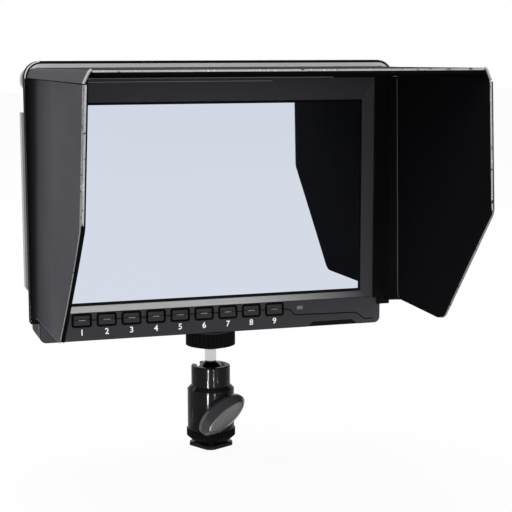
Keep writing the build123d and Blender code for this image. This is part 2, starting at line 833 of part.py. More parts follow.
with BuildPart() as battery_contacts:
    with BuildSketch(at_depth(plate_back)):
        with Locations((0, plate_high - contacts_in_plate)):
            with GridLocations(contact_pitch, 1, 4, 1):
                Rectangle(contact_width, contact_height)
    extrude(amount=-contact_rise)
save(battery_contacts.part, "battery_contacts")

with BuildPart() as battery_latch:
    with BuildSketch(at_depth(body_depth + running_gap)):
        with Locations((0, latch_middle)):
            Rectangle(latch_width, latch_height)
    extrude(amount=-(plate_thickness - running_gap))
    with BuildSketch(at_depth(plate_back)):
        with Locations((0, latch_middle + latch_step_up)):
            Rectangle(latch_width - 2 * latch_ledge, latch_height - 3 * latch_step_up)
    extrude(amount=-latch_rise)
    chamfer(battery_latch.faces().sort_by(Axis.Y)[-1].edges().sort_by(Axis.Z)[-1], latch_rise * 0.7)
save(battery_latch.part, "battery_latch")

# The spring lies in the free part of the latch's slot, below the latch.
with BuildPart() as latch_spring:
    slot_floor = latch_middle - latch_height / 2 - latch_travel - latch_gap
    with BuildSketch(at_depth(body_depth + spring_sunk)):
        with BuildLine():
            Polyline(
                (-latch_width / 3, slot_floor + pad_gap),
                (0, slot_floor + latch_travel),
                (latch_width / 3, slot_floor + pad_gap),
            )
        trace(line_width=spring_wire)
    extrude(amount=-spring_width)
save(latch_spring.part, "latch_spring")

# ================= sun hood =================
left_wall_front = -(left_hinge_depth - wall_to_hinge)
right_wall_front = -(right_hinge_depth - wall_to_hinge)
top_wall_front = -(top_hinge_depth - wall_to_hinge)
top_wall_low = top_hinge_height - panel_thickness / 2


def wall_section(side, depth, inner_low, inner_high, low, thickness):
    """Leaning four-sided section of a side wall."""
    with BuildSketch(at_depth(depth)) as section:
        with BuildLine():
            Polyline(
                (side * inner_low, low),
                (side * (inner_low + thickness), low),
                (side * (inner_high + thickness), panel_top),
                (side * inner_high, panel_top),
                close=True,
            )
        make_face()
    return section.sketch


def side_wall(side, front, outward, thickness):
    """Sections of a side wall, from the frame's plate forward to its hinge, leaning with the hinge."""
    root = wall_root_inner + outward
    low_half = hinge_inner_half(wall_front_low) + outward
    high_half = hinge_inner_half(panel_top) + outward
    return [
        wall_section(side, -frame_plate, root, root, wall_low, thickness),
        wall_section(side, front, low_half, high_half, wall_front_low, thickness),
    ]


with BuildPart() as hood_frame:
    with BuildSketch(at_depth(-frame_plate)):
        outline(frame_width, frame_bottom, frame_top, frame_corner)
        with Locations((0, frame_bottom + frame_corner / 2)):
            Rectangle(frame_width, frame_corner)
    extrude(amount=-(frame_plate + frame_back))
    with BuildSketch(at_depth(0)):
        pocket_top = frame_top - frame_wall
        with Locations((0, pocket_top / 2)):
            RectangleRounded(frame_width - 2 * frame_wall, pocket_top, frame_corner - frame_wall)
    extrude(amount=-frame_back, mode=Mode.SUBTRACT)
    with BuildSketch(at_depth(-frame_plate)):
        with Locations((0, frame_opening_top / 2)):
            Rectangle(frame_opening_width, frame_opening_top)
        with Locations((0, strip_bottom / 2)):
            Rectangle(body_width - 2 * strip_foot_lap, strip_bottom)
    extrude(amount=-frame_plate, mode=Mode.SUBTRACT)
    loft(side_wall(-1, left_wall_front, 0, hood_wall), ruled=True)
    loft(side_wall(1, right_wall_front, 0, hood_wall), ruled=True)
    with BuildSketch(at_depth(-frame_plate)):
        with Locations((0, top_wall_low + hood_wall / 2)):
            Rectangle(2 * top_back_half, hood_wall)
    extrude(amount=-(frame_plate + top_wall_front))
save(hood_frame.part, "hood_frame")

for name, side, hinge_depth in (("left_hinge_cloth", -1, left_hinge_depth),
                                ("right_hinge_cloth", 1, right_hinge_depth)):
    with BuildPart() as hinge_cloth:
        loft(side_wall(side, -(hinge_depth + hinge_gap - 0.1), hood_wall, hood_cloth), ruled=True)
    save(hinge_cloth.part, name)

with BuildPart() as top_hinge_cloth:
    with BuildSketch(at_depth(-frame_plate)):
        with Locations((0, top_wall_low + hood_wall + hood_cloth / 2)):
            Rectangle(2 * top_back_half, hood_cloth)
    extrude(amount=top_hinge_depth + hinge_gap - 0.1 - frame_plate)
save(top_hinge_cloth.part, "top_hinge_cloth")

lean = radians(hinge_lean)
toe = radians(side_toe)
inward = Vector(-cos(lean), 0, -sin(lean))
forward = Vector(0, -1, 0)
toed_forward = forward * cos(toe) + inward * sin(toe)
toed_inward = inward * cos(toe) - forward * sin(toe)
axis_half = hinge_low_half + panel_thickness / 2


def side_layer(hinge_depth, inward_from, thickness, inset, tip_round):
    """One layer of the right side panel, as a solid: its outline seen from the side."""
    axis_foot = (axis_half, front_y - hinge_depth, body_bottom + hinge_low_height)
    panel_plane = Plane(origin=axis_foot, x_dir=toed_forward, z_dir=toed_inward)
    corner_reach = hood_reach - hinge_depth
    tip_reach = side_tip_reach - hinge_depth
    top = panel_top - hinge_low_height
    top_reach_here = top_front_reach - hinge_depth
    with BuildPart() as layer:
        with BuildSketch(panel_plane.offset(inward_from)) as face:
            with BuildLine():
                Polyline(
                    (hinge_gap, side_bottom_height - hinge_low_height),
                    (hinge_gap, top),
                    (top_reach_here, top),
                    (corner_reach, side_corner_height - hinge_low_height),
                    (tip_reach, side_tip_height - hinge_low_height),
                    close=True,
                )
            make_face()
            fillet(face.vertices().sort_by(Axis.Y)[0], tip_round)
            fillet(face.vertices().sort_by(Axis.X)[-1], side_corner_round)
            if inset:
                offset(amount=-inset, mode=Mode.REPLACE)
        extrude(amount=thickness)
    return layer.part


board_from = -panel_thickness / 2
lining_from = board_from + board_thickness
right_board = side_layer(right_hinge_depth, board_from, board_thickness, 0, right_tip_round)
right_lining = side_layer(right_hinge_depth, lining_from, lining_thickness, lining_inset, right_tip_round)
left_board = side_layer(left_hinge_depth, board_from, board_thickness, 0, left_tip_round)
left_lining = side_layer(left_hinge_depth, lining_from, lining_thickness, lining_inset, left_tip_round)
save(right_board, "right_board")
save(right_lining, "right_lining")
save(mirror(left_board, about=Plane.YZ), "left_board")
save(mirror(left_lining, about=Plane.YZ), "left_lining")

rise = radians(top_rise)
top_plane = Plane(
    origin=(0, front_y - top_hinge_depth, body_bottom + top_hinge_height),
    x_dir=(1, 0, 0),
    z_dir=(0, sin(rise), cos(rise)),
)


def top_layer(upward_from, thickness, inset):
    """One layer of the top panel, seen from above: its front is narrower than its back."""
    reach = top_reach - top_hinge_depth
    back_half = top_back_half - top_taper * hinge_gap - inset
    front_half = top_back_half - top_taper * reach - inset
    with BuildPart() as layer:
        with BuildSketch(top_plane.offset(upward_from)):
            with BuildLine():
                Polyline(
                    (-back_half, -hinge_gap - inset),
                    (back_half, -hinge_gap - inset),
                    (front_half, -reach + inset),
                    (-front_half, -reach + inset),
                    close=True,
                )
            make_face()
        extrude(amount=thickness)
    return layer.part


save(top_layer(-panel_thickness / 2 + lining_thickness, board_thickness, 0), "top_board")
save(top_layer(-panel_thickness / 2, lining_thickness, lining_inset), "top_lining")


def flap_section(depth, top_inner, corner, low_half):
    """Bent section of the right corner flap: a strip over the top's edge and one down its side."""
    with BuildSketch(at_depth(depth)) as section:
        with BuildLine():
            Polyline(
                top_inner,
                corner,
                (low_half, flap_low),
                (low_half - flap_thickness, flap_low),
                (corner[0] - flap_thickness, corner[1] - flap_thickness),
                (top_inner[0], top_inner[1] - flap_thickness),
                close=True,
            )
        make_face()
    return section.sketch


top_front_half = top_back_half - top_taper * (top_reach - top_hinge_depth)
flap_low = panel_top + flap_above_panel
flap_back_low = frame_width / 2 - flap_back_low_in_frame
flap_front_low = top_front_half + flap_front_low_out
flap_back = frame_plate + running_gap
flap_bend = top_hinge_depth + hinge_gap
bend_share = (flap_bend - flap_back) / (top_reach - flap_back)
flap_back_top = top_hinge_height + panel_thickness / 2
flap_front_top = flap_back_top + (top_reach - top_hinge_depth) * sin(rise)
flap_back_corner = (frame_width / 2 - flap_back_corner_in_frame, flap_back_top - flap_corner_drop)
flap_front_corner = (top_front_half + flap_front_corner_out, flap_front_top - flap_corner_drop)
bend_low = flap_back_low + bend_share * (flap_front_low - flap_back_low)
bend_corner = (
    flap_back_corner[0] + bend_share * (flap_front_corner[0] - flap_back_corner[0]),
    flap_back_corner[1],
)
flap_edge_back = top_back_half + flap_edge_gap
flap_edge_front = top_front_half + flap_edge_gap
with BuildPart() as right_corner_flap:
    loft([
        flap_section(-flap_back, (flap_edge_back, flap_back_top), flap_back_corner, flap_back_low),
        flap_section(-flap_bend, (flap_edge_back, flap_back_top), bend_corner, bend_low),
        flap_section(-top_reach, (flap_edge_front, flap_front_top), flap_front_corner, flap_front_low),
    ], ruled=True)
save(right_corner_flap.part, "right_corner_flap")
save(mirror(right_corner_flap.part, about=Plane.YZ), "left_corner_flap")
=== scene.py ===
import math

import bmesh
import bpy
from mathutils import Matrix, Vector, noise


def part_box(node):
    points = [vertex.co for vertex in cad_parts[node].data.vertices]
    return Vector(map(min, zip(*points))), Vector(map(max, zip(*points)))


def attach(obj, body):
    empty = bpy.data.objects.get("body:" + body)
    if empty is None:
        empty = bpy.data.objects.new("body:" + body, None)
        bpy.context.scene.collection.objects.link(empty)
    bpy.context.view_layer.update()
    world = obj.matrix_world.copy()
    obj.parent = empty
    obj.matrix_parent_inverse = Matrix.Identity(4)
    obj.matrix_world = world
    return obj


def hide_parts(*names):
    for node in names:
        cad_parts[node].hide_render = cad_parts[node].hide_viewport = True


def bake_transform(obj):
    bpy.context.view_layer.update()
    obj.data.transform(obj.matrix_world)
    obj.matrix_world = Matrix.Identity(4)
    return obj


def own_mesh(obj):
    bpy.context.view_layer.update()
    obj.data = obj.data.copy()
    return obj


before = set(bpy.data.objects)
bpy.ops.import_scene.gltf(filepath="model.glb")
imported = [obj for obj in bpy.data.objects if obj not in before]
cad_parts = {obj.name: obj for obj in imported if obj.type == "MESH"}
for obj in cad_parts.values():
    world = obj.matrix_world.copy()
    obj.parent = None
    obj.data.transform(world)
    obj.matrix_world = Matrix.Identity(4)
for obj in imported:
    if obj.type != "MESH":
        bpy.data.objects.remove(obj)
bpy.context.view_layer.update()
scene = bpy.context.scene
scene.view_settings.view_transform = "Standard"
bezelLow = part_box("front_bezel")[0]
frontY = bezelLow.y * 1000  # the monitor's front face and bottom edge, in millimetres
baseZ = bezelLow.z * 1000


class Wire:  # a shader socket that can stand in a sum
    def __init__(self, tree, socket=None):
        self.tree = tree
        self.socket = socket

    def node(self, kind, settings={}, inputs={}, output=0):
        made = self.tree.nodes.new(kind)
        for name, value in settings.items():
            if name == "stops":  # a ramp's stops: place and grey level
                while len(made.color_ramp.elements) < len(value):
                    made.color_ramp.elements.new(1)
                for element, (place, color) in zip(made.color_ramp.elements, value):
                    element.position = place
                    element.color = (color, color, color, 1)
            else:
                setattr(made, name, value)
        for name, value in inputs.items():
            if isinstance(value, Wire):
                self.tree.links.new(value.socket, made.inputs[name])
            else:
                made.inputs[name].default_value = value
        return Wire(self.tree, made.outputs[output]) if made.outputs else None

    def sum(self, operation, first, second=0.0, clamp=False):
        settings = {"operation": operation, "use_clamp": clamp}
        return self.node("ShaderNodeMath", settings, {0: first, 1: second})

    def __add__(self, other):
        return self.sum("ADD", self, other)

    def __radd__(self, other):
        return self.sum("ADD", other, self)

    def __sub__(self, other):
        return self.sum("SUBTRACT", self, other)

    def __rsub__(self, other):
        return self.sum("SUBTRACT", other, self)

    def __mul__(self, other):
        return self.sum("MULTIPLY", self, other)

    def __rmul__(self, other):
        return self.sum("MULTIPLY", other, self)

    def above(self, edge, softness):  # 0 under the edge, 1 once past its soft band
        return self.sum("MULTIPLY", self - edge, 1 / softness, True)

    def blend(self, low, high):  # two colours, mixed by this socket
        low, high = (end if isinstance(end, Wire) else (*end, 1) for end in (low, high))
        return self.node("ShaderNodeMix", {"data_type": "RGBA"}, {0: self, 6: low, 7: high}, 2)


def newSurface(name):
    material = bpy.data.materials.new(name)
    material.use_nodes = True
    material.node_tree.nodes.clear()
    return material, Wire(material.node_tree)


def closeSurface(start, look, relief=None, depth=0.0):
    if relief is not None:
        bump = {"Height": relief, "Distance": depth, "Strength": 1.0}
        look["Normal"] = start.node("ShaderNodeBump", {}, bump, "Normal")
    shader = start.node("ShaderNodeBsdfPrincipled", {}, look, "BSDF")
    start.node("ShaderNodeOutputMaterial", {}, {"Surface": shader})


def spot(start, scale=(1, 1, 1)):  # the object's own coordinates, stretched
    place = start.node("ShaderNodeTexCoord", {}, {}, "Object")
    return start.node("ShaderNodeMapping", {}, {"Vector": place, "Scale": scale})


def axisOf(start, axis):
    return start.node("ShaderNodeSeparateXYZ", {}, {"Vector": spot(start)}, axis)


def speckle(start, scale, detail=2.0, stretch=(1, 1, 1)):
    return start.node("ShaderNodeTexNoise", {}, {
        "Vector": spot(start, stretch), "Scale": scale, "Detail": detail}, 0)


def mouldedPlastic(name, shade, roughness, grain=1400, relief=0.00003, tint=(1, 1, 1.03),
                   gloss=0.5, sideHighlight=None, paintedShade=None):
    material, start = newSurface(name)
    patches = speckle(start, 35, 3)
    fine = speckle(start, grain, 2)
    scuffs = speckle(start, 320, 4).above(0.62, 0.1)
    dark, light = [[shade * share * t for t in tint] for share in (0.8, 1.2)]
    color = (patches * 0.6 + fine * 0.4).blend(dark, light)
    if sideHighlight:  # a paler shade, a painted highlight, on what stands outside a half-width
        halfWidth, sideHighlightShade = sideHighlight
        outside = start.sum("ABSOLUTE", axisOf(start, "X")).above(halfWidth * 0.001, 0.0003)
        color = outside.blend(color, fine.blend([sideHighlightShade * 0.9] * 3, [sideHighlightShade * 1.1] * 3))
    if paintedShade:  # painted shade: darker behind a depth and below a height, on the grooves and the sides
        depth, height, paintedShadeTone = paintedShade
        behind = axisOf(start, "Y").above(depth * 0.001, 0.0001)
        below = 1 - axisOf(start, "Z").above(height * 0.001, 0.0001)
        shadedGrooves = fine.blend([paintedShadeTone * 0.8] * 3, [paintedShadeTone * 1.2] * 3)
        color = (behind * below).blend(color, shadedGrooves)
    closeSurface(start, {
        "Base Color": color,
        "Roughness": roughness + (patches - 0.5) * 0.12 + scuffs * 0.06,
        "Specular IOR Level": gloss,
    }, fine, relief)
    return material


def wovenCloth(name, shade, axes, pitch=0.00055, sheen=0.25, lint=0.12, roughness=0.8, gloss=0.4,
               flecks=None, tint=(1, 1, 1), fade=None):
    material, start = newSurface(name)
    turns = 2 * math.pi / pitch
    waves = [start.sum("SINE", axisOf(start, axis) * turns) for axis in axes]
    weave = waves[0] * waves[1]
    patches = speckle(start, 22, 4)
    fine = speckle(start, 1100, 3)
    specks = fine.above(0.66, 0.06) * lint
    tone = (patches - 0.5) * 0.7 + weave * 0.12 + fine * 0.5 + 0.25
    dark, light = [[shade * share * t for t in tint] for share in (0.7, 1.3)]
    color = tone.blend(dark, light)
    color = specks.blend(color, [shade * 4 + 0.03] * 3)
    if fade:  # painted shade: the cloth darkens into its hinge, where the frame shades it, over a ramp between two depths
        near, far, stops = fade
        forward = frontY * 0.001 - axisOf(start, "Y") - near * 0.001
        depth = forward * (1000 / (far - near))
        ramp = start.node("ShaderNodeValToRGB", {"stops": stops}, {0: depth}, 0)
        color = ramp.blend((0, 0, 0), color)
    if flecks:  # broken threads of another shade along an edge
        size, amount, fleckShade = flecks
        broken = speckle(start, size, 3).above(amount, 0.08)
        color = broken.blend(color, [fleckShade] * 3)
    closeSurface(start, {
        "Base Color": color,
        "Roughness": roughness + (patches - 0.5) * 0.1,
        "Specular IOR Level": gloss,
        "Sheen Weight": sheen,
        "Sheen Roughness": 0.4,
    }, weave * 0.5 + fine * 0.5, 0.00008)
    return material


def turnedMetal(name, color, roughness, metallic, lines=6000, gloss=0.5, below=None):
    material, start = newSurface(name)
    marks = speckle(start, 1.0, 2.0, (40, 40, lines))
    patches = speckle(start, 120, 3)
    dark, light = [c * 0.86 for c in color], [min(1, c * 1.12) for c in color]
    shade = (patches * 0.6 + marks * 0.4).blend(dark, light)
    if below:  # another colour under a height, such as the ball under its stem
        height, lowColor = below
        lowShade = patches.blend([c * 0.8 for c in lowColor], [c * 1.2 for c in lowColor])
        shade = axisOf(start, "Z").above(height * 0.001, 0.0003).blend(lowShade, shade)
    closeSurface(start, {
        "Base Color": shade,
        "Metallic": metallic,
        "Specular IOR Level": gloss,
        "Roughness": roughness + (marks - 0.5) * 0.08 + (patches - 0.5) * 0.08,
    }, marks, 0.000004)
    return material


def brushedTrim(name, highlightShade, dark, fadeFrom, fadeOver):  # a painted highlight, bright at the left, that fades into painted shade at the right
    material, start = newSurface(name)
    streaks = speckle(start, 1.0, 3.0, (30, 2200, 2200))
    fade = axisOf(start, "X").above(fadeFrom * 0.001, fadeOver * 0.001)
    left = streaks.blend([highlightShade * 0.8] * 3, [highlightShade * 1.2] * 3)
    right = streaks.blend([dark * 0.7] * 3, [dark * 1.3] * 3)
    closeSurface(start, {
        "Base Color": fade.blend(left, right),
        "Roughness": streaks * 0.1 + 0.35,
        "Metallic": 0.4,
        "Specular IOR Level": 0.4,
    }, streaks, 0.00001)
    return material


def softRubber(name, shade):
    material, start = newSurface(name)
    fine = speckle(start, 1800, 3)
    dust = speckle(start, 90, 4)
    closeSurface(start, {
        "Base Color": (dust * 0.6 + fine * 0.4).blend([shade * 0.7] * 3, [shade * 1.5] * 3),
        "Roughness": 0.72 + (dust - 0.5) * 0.2,
    }, fine, 0.00004)
    return material


def printedPaint(name, color, gloss=0.5):
    material, start = newSurface(name)
    fine = speckle(start, 2500, 2)
    closeSurface(start, {
        "Base Color": fine.blend([c * 0.9 for c in color], color),
        "Roughness": 0.5 + fine * 0.1,
        "Specular IOR Level": gloss,
    }, fine, 0.00001)
    return material


def mirrorGlass(name, color):
    material, start = newSurface(name)
    haze = speckle(start, 9, 2)
    prints = speckle(start, 60, 5).above(0.6, 0.2)
    closeSurface(start, {
        "Base Color": haze.blend([c * 0.985 for c in color], color),
        "Metallic": 1.0,
        "Roughness": 0.015 + prints * 0.01,
    })
    return material


def circuitBoard(name):
    material, start = newSurface(name)
    blocks = start.node("ShaderNodeTexVoronoi", {"distance": "MANHATTAN"},
                        {"Vector": spot(start), "Scale": 260.0}, 0)
    tracks = blocks.above(0.35, 0.05)
    fine = speckle(start, 900, 2)
    closeSurface(start, {
        "Base Color": tracks.blend((0.01, 0.09, 0.035), (0.03, 0.17, 0.07)),
        "Roughness": 0.35 + fine * 0.15,
    }, tracks, 0.00003)
    return material


print("stage: materials")
coolBlack = (1, 0.97, 1.1)  # the bluish tint of the black plastic and cloth
# painted shade of the frame on the side cloth near its hinge: grey levels by depth
paintedHingeShadow = [(0, 0.01), (0.12, 0.06), (0.2, 0.11), (0.27, 0.24), (0.35, 0.44), (0.47, 0.65),
              (0.7, 0.82), (1, 1)]
surfaces = {
    # painted shade: the casing is darker on its grooves and sides
    "casing": mouldedPlastic("casingPlastic", 0.07, 0.4, gloss=0.07, tint=coolBlack,
                             paintedShade=(frontY + 0.14, baseZ + 13.6, 0.004)),
    # painted highlight: the rear's rails outside the half-width are paler
    "rear": mouldedPlastic("rearPlastic", 0.007, 0.5, 900, 0.00006, gloss=0.05, sideHighlight=(90.4, 0.4)),
    "hood": mouldedPlastic("hoodPlastic", 0.01, 0.34, 1100, gloss=0.001),
    "key": mouldedPlastic("keyPlastic", 0.024, 0.3, 2200, 0.000015, gloss=0.3),
    # painted highlight: the pale ridge on each key
    "ridgeHighlight": mouldedPlastic("keyRidge", 0.35, 0.3, 2200, 0.000015),
    # painted shade: the near-black rings round the keys
    "well": mouldedPlastic("keyWell", 0.002, 0.6, 2200, 0.000015, gloss=0.05),
    # painted highlights: paler than the black plastic under them, on the frame's rim, its beads and
    # two edges
    "rimLight": mouldedPlastic("satinRim", 0.8, 0.35, 1200, 0.00002),
    "dimLight": mouldedPlastic("glossBead", 0.16, 0.3, 1200, 0.00002),
    "edgeHighlight": mouldedPlastic("wornEdge", 0.3, 0.3, 1200, 0.00002),
    "knob": mouldedPlastic("knobPlastic", 0.006, 0.26, 1500, 0.00002, (1, 1, 1.08), 0.2),
    "socket": mouldedPlastic("socketPlastic", 0.015, 0.45, 2000, 0.00002),
    "sideCloth": wovenCloth("sideCloth", 0.082, ("Y", "Z"), sheen=0.0, gloss=0.002, tint=coolBlack,
                            fade=(2, 62, paintedHingeShadow)),
    "flapCloth": wovenCloth("flapCloth", 0.062, ("Y", "Z"), sheen=0.02, gloss=0.08, tint=coolBlack),
    # painted shade: the top cloth is a darker copy of the side cloth
    "topCloth": wovenCloth("topCloth", 0.03, ("X", "Y"), sheen=0.0, roughness=0.9, gloss=0.05),
    "core": wovenCloth("panelCore", 0.003, ("Y", "Z"), 0.0008, 0.0, 0.1, 0.9, 0.04),
    "lining": wovenCloth("hoodLining", 0.0034, ("Y", "Z"), 0.0008, 0.0, 0.02, 0.95, 0.05,
                         tint=(1, 0.95, 1.4)),
    "topLining": wovenCloth("topHoodLining", 0.0014, ("X", "Y"), 0.0008, 0.0, 0.02, 0.95, 0.05),
    "binding": wovenCloth("edgeBinding", 0.52, ("Y", "Z"), 0.0009, 0.2, 0.5,
                          flecks=(420, 0.6, 0.03)),
    "thinBinding": wovenCloth("thinEdgeBinding", 0.26, ("Y", "Z"), 0.0009, 0.2, 0.5,
                              flecks=(650, 0.6, 0.02)),
    "headBlack": turnedMetal("glossBlackMetal", (0.0012, 0.0012, 0.0014), 0.1, 0.0, 3000, 0.05),
    "steel": turnedMetal("brightSteel", (0.8, 0.79, 0.77), 0.16, 1.0),
    "ballSteel": turnedMetal("ballAndStem", (0.6, 0.59, 0.57), 0.2, 1.0,
                             below=(45.4, (0.04, 0.04, 0.042))),
    "darkSteel": turnedMetal("darkScrewSteel", (0.16, 0.16, 0.17), 0.32, 1.0, 2000),
    "socketSteel": turnedMetal("socketSteel", (0.6, 0.6, 0.62), 0.3, 1.0, 2500),
    "brass": turnedMetal("machinedBrass", (0.72, 0.55, 0.24), 0.26, 1.0),
    "gold": turnedMetal("platedContacts", (0.85, 0.65, 0.25), 0.22, 1.0, 1500),
    "tray": turnedMetal("trayMetal", (0.7, 0.7, 0.7), 0.4, 1.0, 800),
    "headSatin": turnedMetal("satinBlackMetal", (0.012, 0.012, 0.013), 0.3, 0.0, 3000, 0.002),
    # painted highlight and painted shade: the pale strip on the lower bevel
    "trim": brushedTrim("lowerTrim", 0.76, 0.07, 15, 68),
    "rubber": softRubber("blackRubber", 0.02),
    "legend": printedPaint("legendPaint", (0.88, 0.89, 0.9)),
    "mask": printedPaint("blackPrint", (0.003, 0.003, 0.004), 0.1),
    "screen": mirrorGlass("screenGlass", (0.67, 0.715, 0.8)),
    "board": circuitBoard("circuitBoard"),
    "lamp": mouldedPlastic("paleWindow", 0.25, 0.2, 800, 0.00001),
}


def meshFrom(name, shape):
    mesh = bpy.data.meshes.new(name)
    shape.to_mesh(mesh)
    shape.free()
    return mesh


def toPiece(name, shape, body, surface, stands=(), sharp=35, bevel=0.0, place=None):
    if place:
        bmesh.ops.transform(shape, matrix=place, verts=shape.verts)
    bmesh.ops.remove_doubles(shape, verts=shape.verts, dist=0.0005)
    bmesh.ops.recalc_face_normals(shape, faces=shape.faces)
    bmesh.ops.scale(shape, vec=(0.001, 0.001, 0.001), verts=shape.verts)  # from millimetres
    return dressPiece(name, meshFrom(name, shape), body, surface, stands, sharp, bevel)


def dressPiece(name, mesh, body, surface, stands=(), sharp=35, bevel=0.0, segments=2):
    mesh.materials.clear()
    mesh.materials.append(surfaces[surface])
    piece = bpy.data.objects.new(name, mesh)
    scene.collection.objects.link(piece)
    mesh.shade_smooth()
    mesh.set_sharp_from_angle(angle=math.radians(sharp))
    if bevel:
        rounding = piece.modifiers.new("rounding", "BEVEL")
        rounding.width = bevel * 0.001
        rounding.segments = segments
        rounding.limit_method = "ANGLE"
        rounding.angle_limit = math.radians(sharp)
        rounding.harden_normals = True
    if stands:
        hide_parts(*stands)
    if body:
        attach(piece, body)
    return piece


def nodeShape(node):  # a copy of a CAD node's shape, its loose triangles joined
    shape = bmesh.new()
    shape.from_mesh(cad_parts[node].data)
    bmesh.ops.remove_doubles(shape, verts=shape.verts, dist=0.000002)
    return shape


def roundedCopy(node, name, body, surface, bevel, turn=None):  # with softened edges
    shape = nodeShape(node)
    bmesh.ops.dissolve_limit(shape, angle_limit=math.radians(0.5), verts=shape.verts,
                             edges=shape.edges)
    if turn:
        bmesh.ops.transform(shape, matrix=turn, verts=shape.verts)
    return dressPiece(name, meshFrom(name, shape), body, surface, (node,), 30, bevel, 3)


def meshOfCurve(curve):  # a curve's or a text's mesh, without its object
    holder = bpy.data.objects.new(curve.name, curve)
    scene.collection.objects.link(holder)
    bpy.context.view_layer.update()
    final = holder.evaluated_get(bpy.context.evaluated_depsgraph_get())
    mesh = bpy.data.meshes.new_from_object(final)
    bpy.data.objects.remove(holder)
    return mesh


def curveShape(points, radius, width=0.0):  # a round bead or a flat tape along the points
    curve = bpy.data.curves.new("path", "CURVE")
    curve.dimensions = "3D"
    curve.twist_mode = "Z_UP"
    spline = curve.splines.new("POLY")
    spline.points.add(len(points) - 1)
    for point, place in zip(spline.points, points):
        point.co = (*place, 1)
    curve.bevel_depth = radius
    curve.extrude = width
    curve.bevel_resolution = 2
    curve.use_fill_caps = True
    mesh = meshOfCurve(curve)
    shape = bmesh.new()
    shape.from_mesh(mesh)
    bpy.data.meshes.remove(mesh)
    return shape


def joinLoops(shape, loops):  # faces between each ring of points and the next
    rows = [[shape.verts.new(point) for point in loop] for loop in loops]
    count = len(rows[0])
    for here, there in zip(rows, rows[1:]):
        for step in range(count):
            after = (step + 1) % count
            shape.faces.new((here[step], here[after], there[after], there[step]))
    return rows


def loftLoops(loops):  # the rings joined, with flat ends
    shape = bmesh.new()
    rows = joinLoops(shape, loops)
    shape.faces.new(rows[0])
    shape.faces.new(list(reversed(rows[-1])))
    return shape


def addBlock(shape, low, high):
    made = bmesh.ops.create_cube(shape, size=1)["verts"]
    bmesh.ops.scale(shape, vec=[b - a for a, b in zip(low, high)], verts=made)
    bmesh.ops.translate(shape, vec=[(a + b) / 2 for a, b in zip(low, high)], verts=made)


def roundEdges(shape, edges, radius, segments):
    bmesh.ops.bevel(shape, geom=edges, offset=radius, segments=segments, profile=0.5,
                    affect="EDGES", material=-1)


def mix(a, b, share):
    return a + (b - a) * share


def roundedOutline(corners, steps=5):
    points = []  # corners are (x, y, radius), in order round a convex outline
    for index, (x, y, radius) in enumerate(corners):
        here = Vector((x, y))
        if not radius:
            points.append(here)
            continue
        before = (Vector(corners[index - 1][:2]) - here).normalized()
        after = (Vector(corners[(index + 1) % len(corners)][:2]) - here).normalized()
        half = before.angle(after) / 2
        centre = here + (before + after).normalized() * (radius / math.sin(half))
        first = here + before * (radius / math.tan(half)) - centre
        last = here + after * (radius / math.tan(half)) - centre
        turn = first.angle_signed(last)
        for step in range(steps + 1):
            points.append(centre + Matrix.Rotation(-turn * step / steps, 2) @ first)
    return points


def cutShape(shape, place, normal, dist, clear=False):
    bmesh.ops.bisect_plane(shape, geom=shape.verts[:] + shape.edges[:] + shape.faces[:], dist=dist,
                           plane_co=place, plane_no=normal, clear_outer=clear)


def cutSheet(points, cell):  # a grid of small cells, cut along a convex outline
    lowX, highX = min(p.x for p in points), max(p.x for p in points)
    lowY, highY = min(p.y for p in points), max(p.y for p in points)
    wide, tall = highX - lowX, highY - lowY
    shape = bmesh.new()
    bmesh.ops.create_grid(shape, x_segments=round(wide / cell), y_segments=round(tall / cell),
                          size=0.5)
    bmesh.ops.scale(shape, vec=(wide, tall, 1), verts=shape.verts)
    bmesh.ops.translate(shape, vec=((highX + lowX) / 2, (highY + lowY) / 2, 0), verts=shape.verts)
    for here, there in zip(points, points[1:] + points[:1]):
        along = there - here
        if along.length > 1e-4 and min(abs(along.x), abs(along.y)) > 1e-6:  # slanting sides only
            cutShape(shape, (here.x, here.y, 0), (along.y, -along.x, 0), 1e-4, True)
    return shape


cadSurfaces = {  # these nodes show as they are
    "mask": ["lcd_panel"],
    "tray": ["backlight_tray"],
    "board": ["main_board", "key_board"],
    "brass": ["tripod_nut", "pressure_cup"],
    "darkSteel": ["clamp_screw", "case_screws", "plate_screws"],
    "gold": ["battery_contacts"],
    "socketSteel": ["hdmi_in", "hdmi_out"],
    "socket": ["dc_jack", "audio_jack"],
    "rubber": ["bottom_pads", "disc_pad"],
    "ballSteel": ["ball_stem"],
}
for surface, nodes in cadSurfaces.items():
    for mesh in [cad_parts[node].data for node in nodes]:
        mesh.materials.clear()
        mesh.materials.append(surfaces[surface])

print("stage: casing")
for node, name, body, surface, slotName, bevel in [
    ("front_bezel", "frontBezel", "monitor", "casing", "casing_black", 0.25),
    ("rear_shell", "rearShell", "monitor", "rear", "casing_black", 0.3),
    ("hood_frame", "hoodFrame", "monitor", "hood", "hood_black", 0.45),
    ("battery_plate", "batteryPlate", "monitor", "rear", "casing_black", 0.2),
    ("battery_latch", "batteryLatch", "latch", "key", "key_black", 0.2),
    ("ball_barrel", "ballBarrel", "barrel", "headBlack", "head_black", 0.3),
    ("lock_ring", "lockRing", "lock_ring", "headSatin", "head_black", 0.15),
    ("lock_disc", "lockDisc", "disc", "headSatin", "head_black", 0.15),
    ("shoe_foot", "shoeFoot", "foot", "headBlack", "foot_black", 0.3),
    ("status_window", "statusWindow", "monitor", "lamp", "window_smoke", 0.15),
]:
    roundedCopy(node, name, body, surface, bevel)

# The sliding latch presses its spring down to the closed coils.
latchSpring = roundedCopy("latch_spring", "latchSpring", "monitor", "steel", 0.0)
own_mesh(latchSpring)

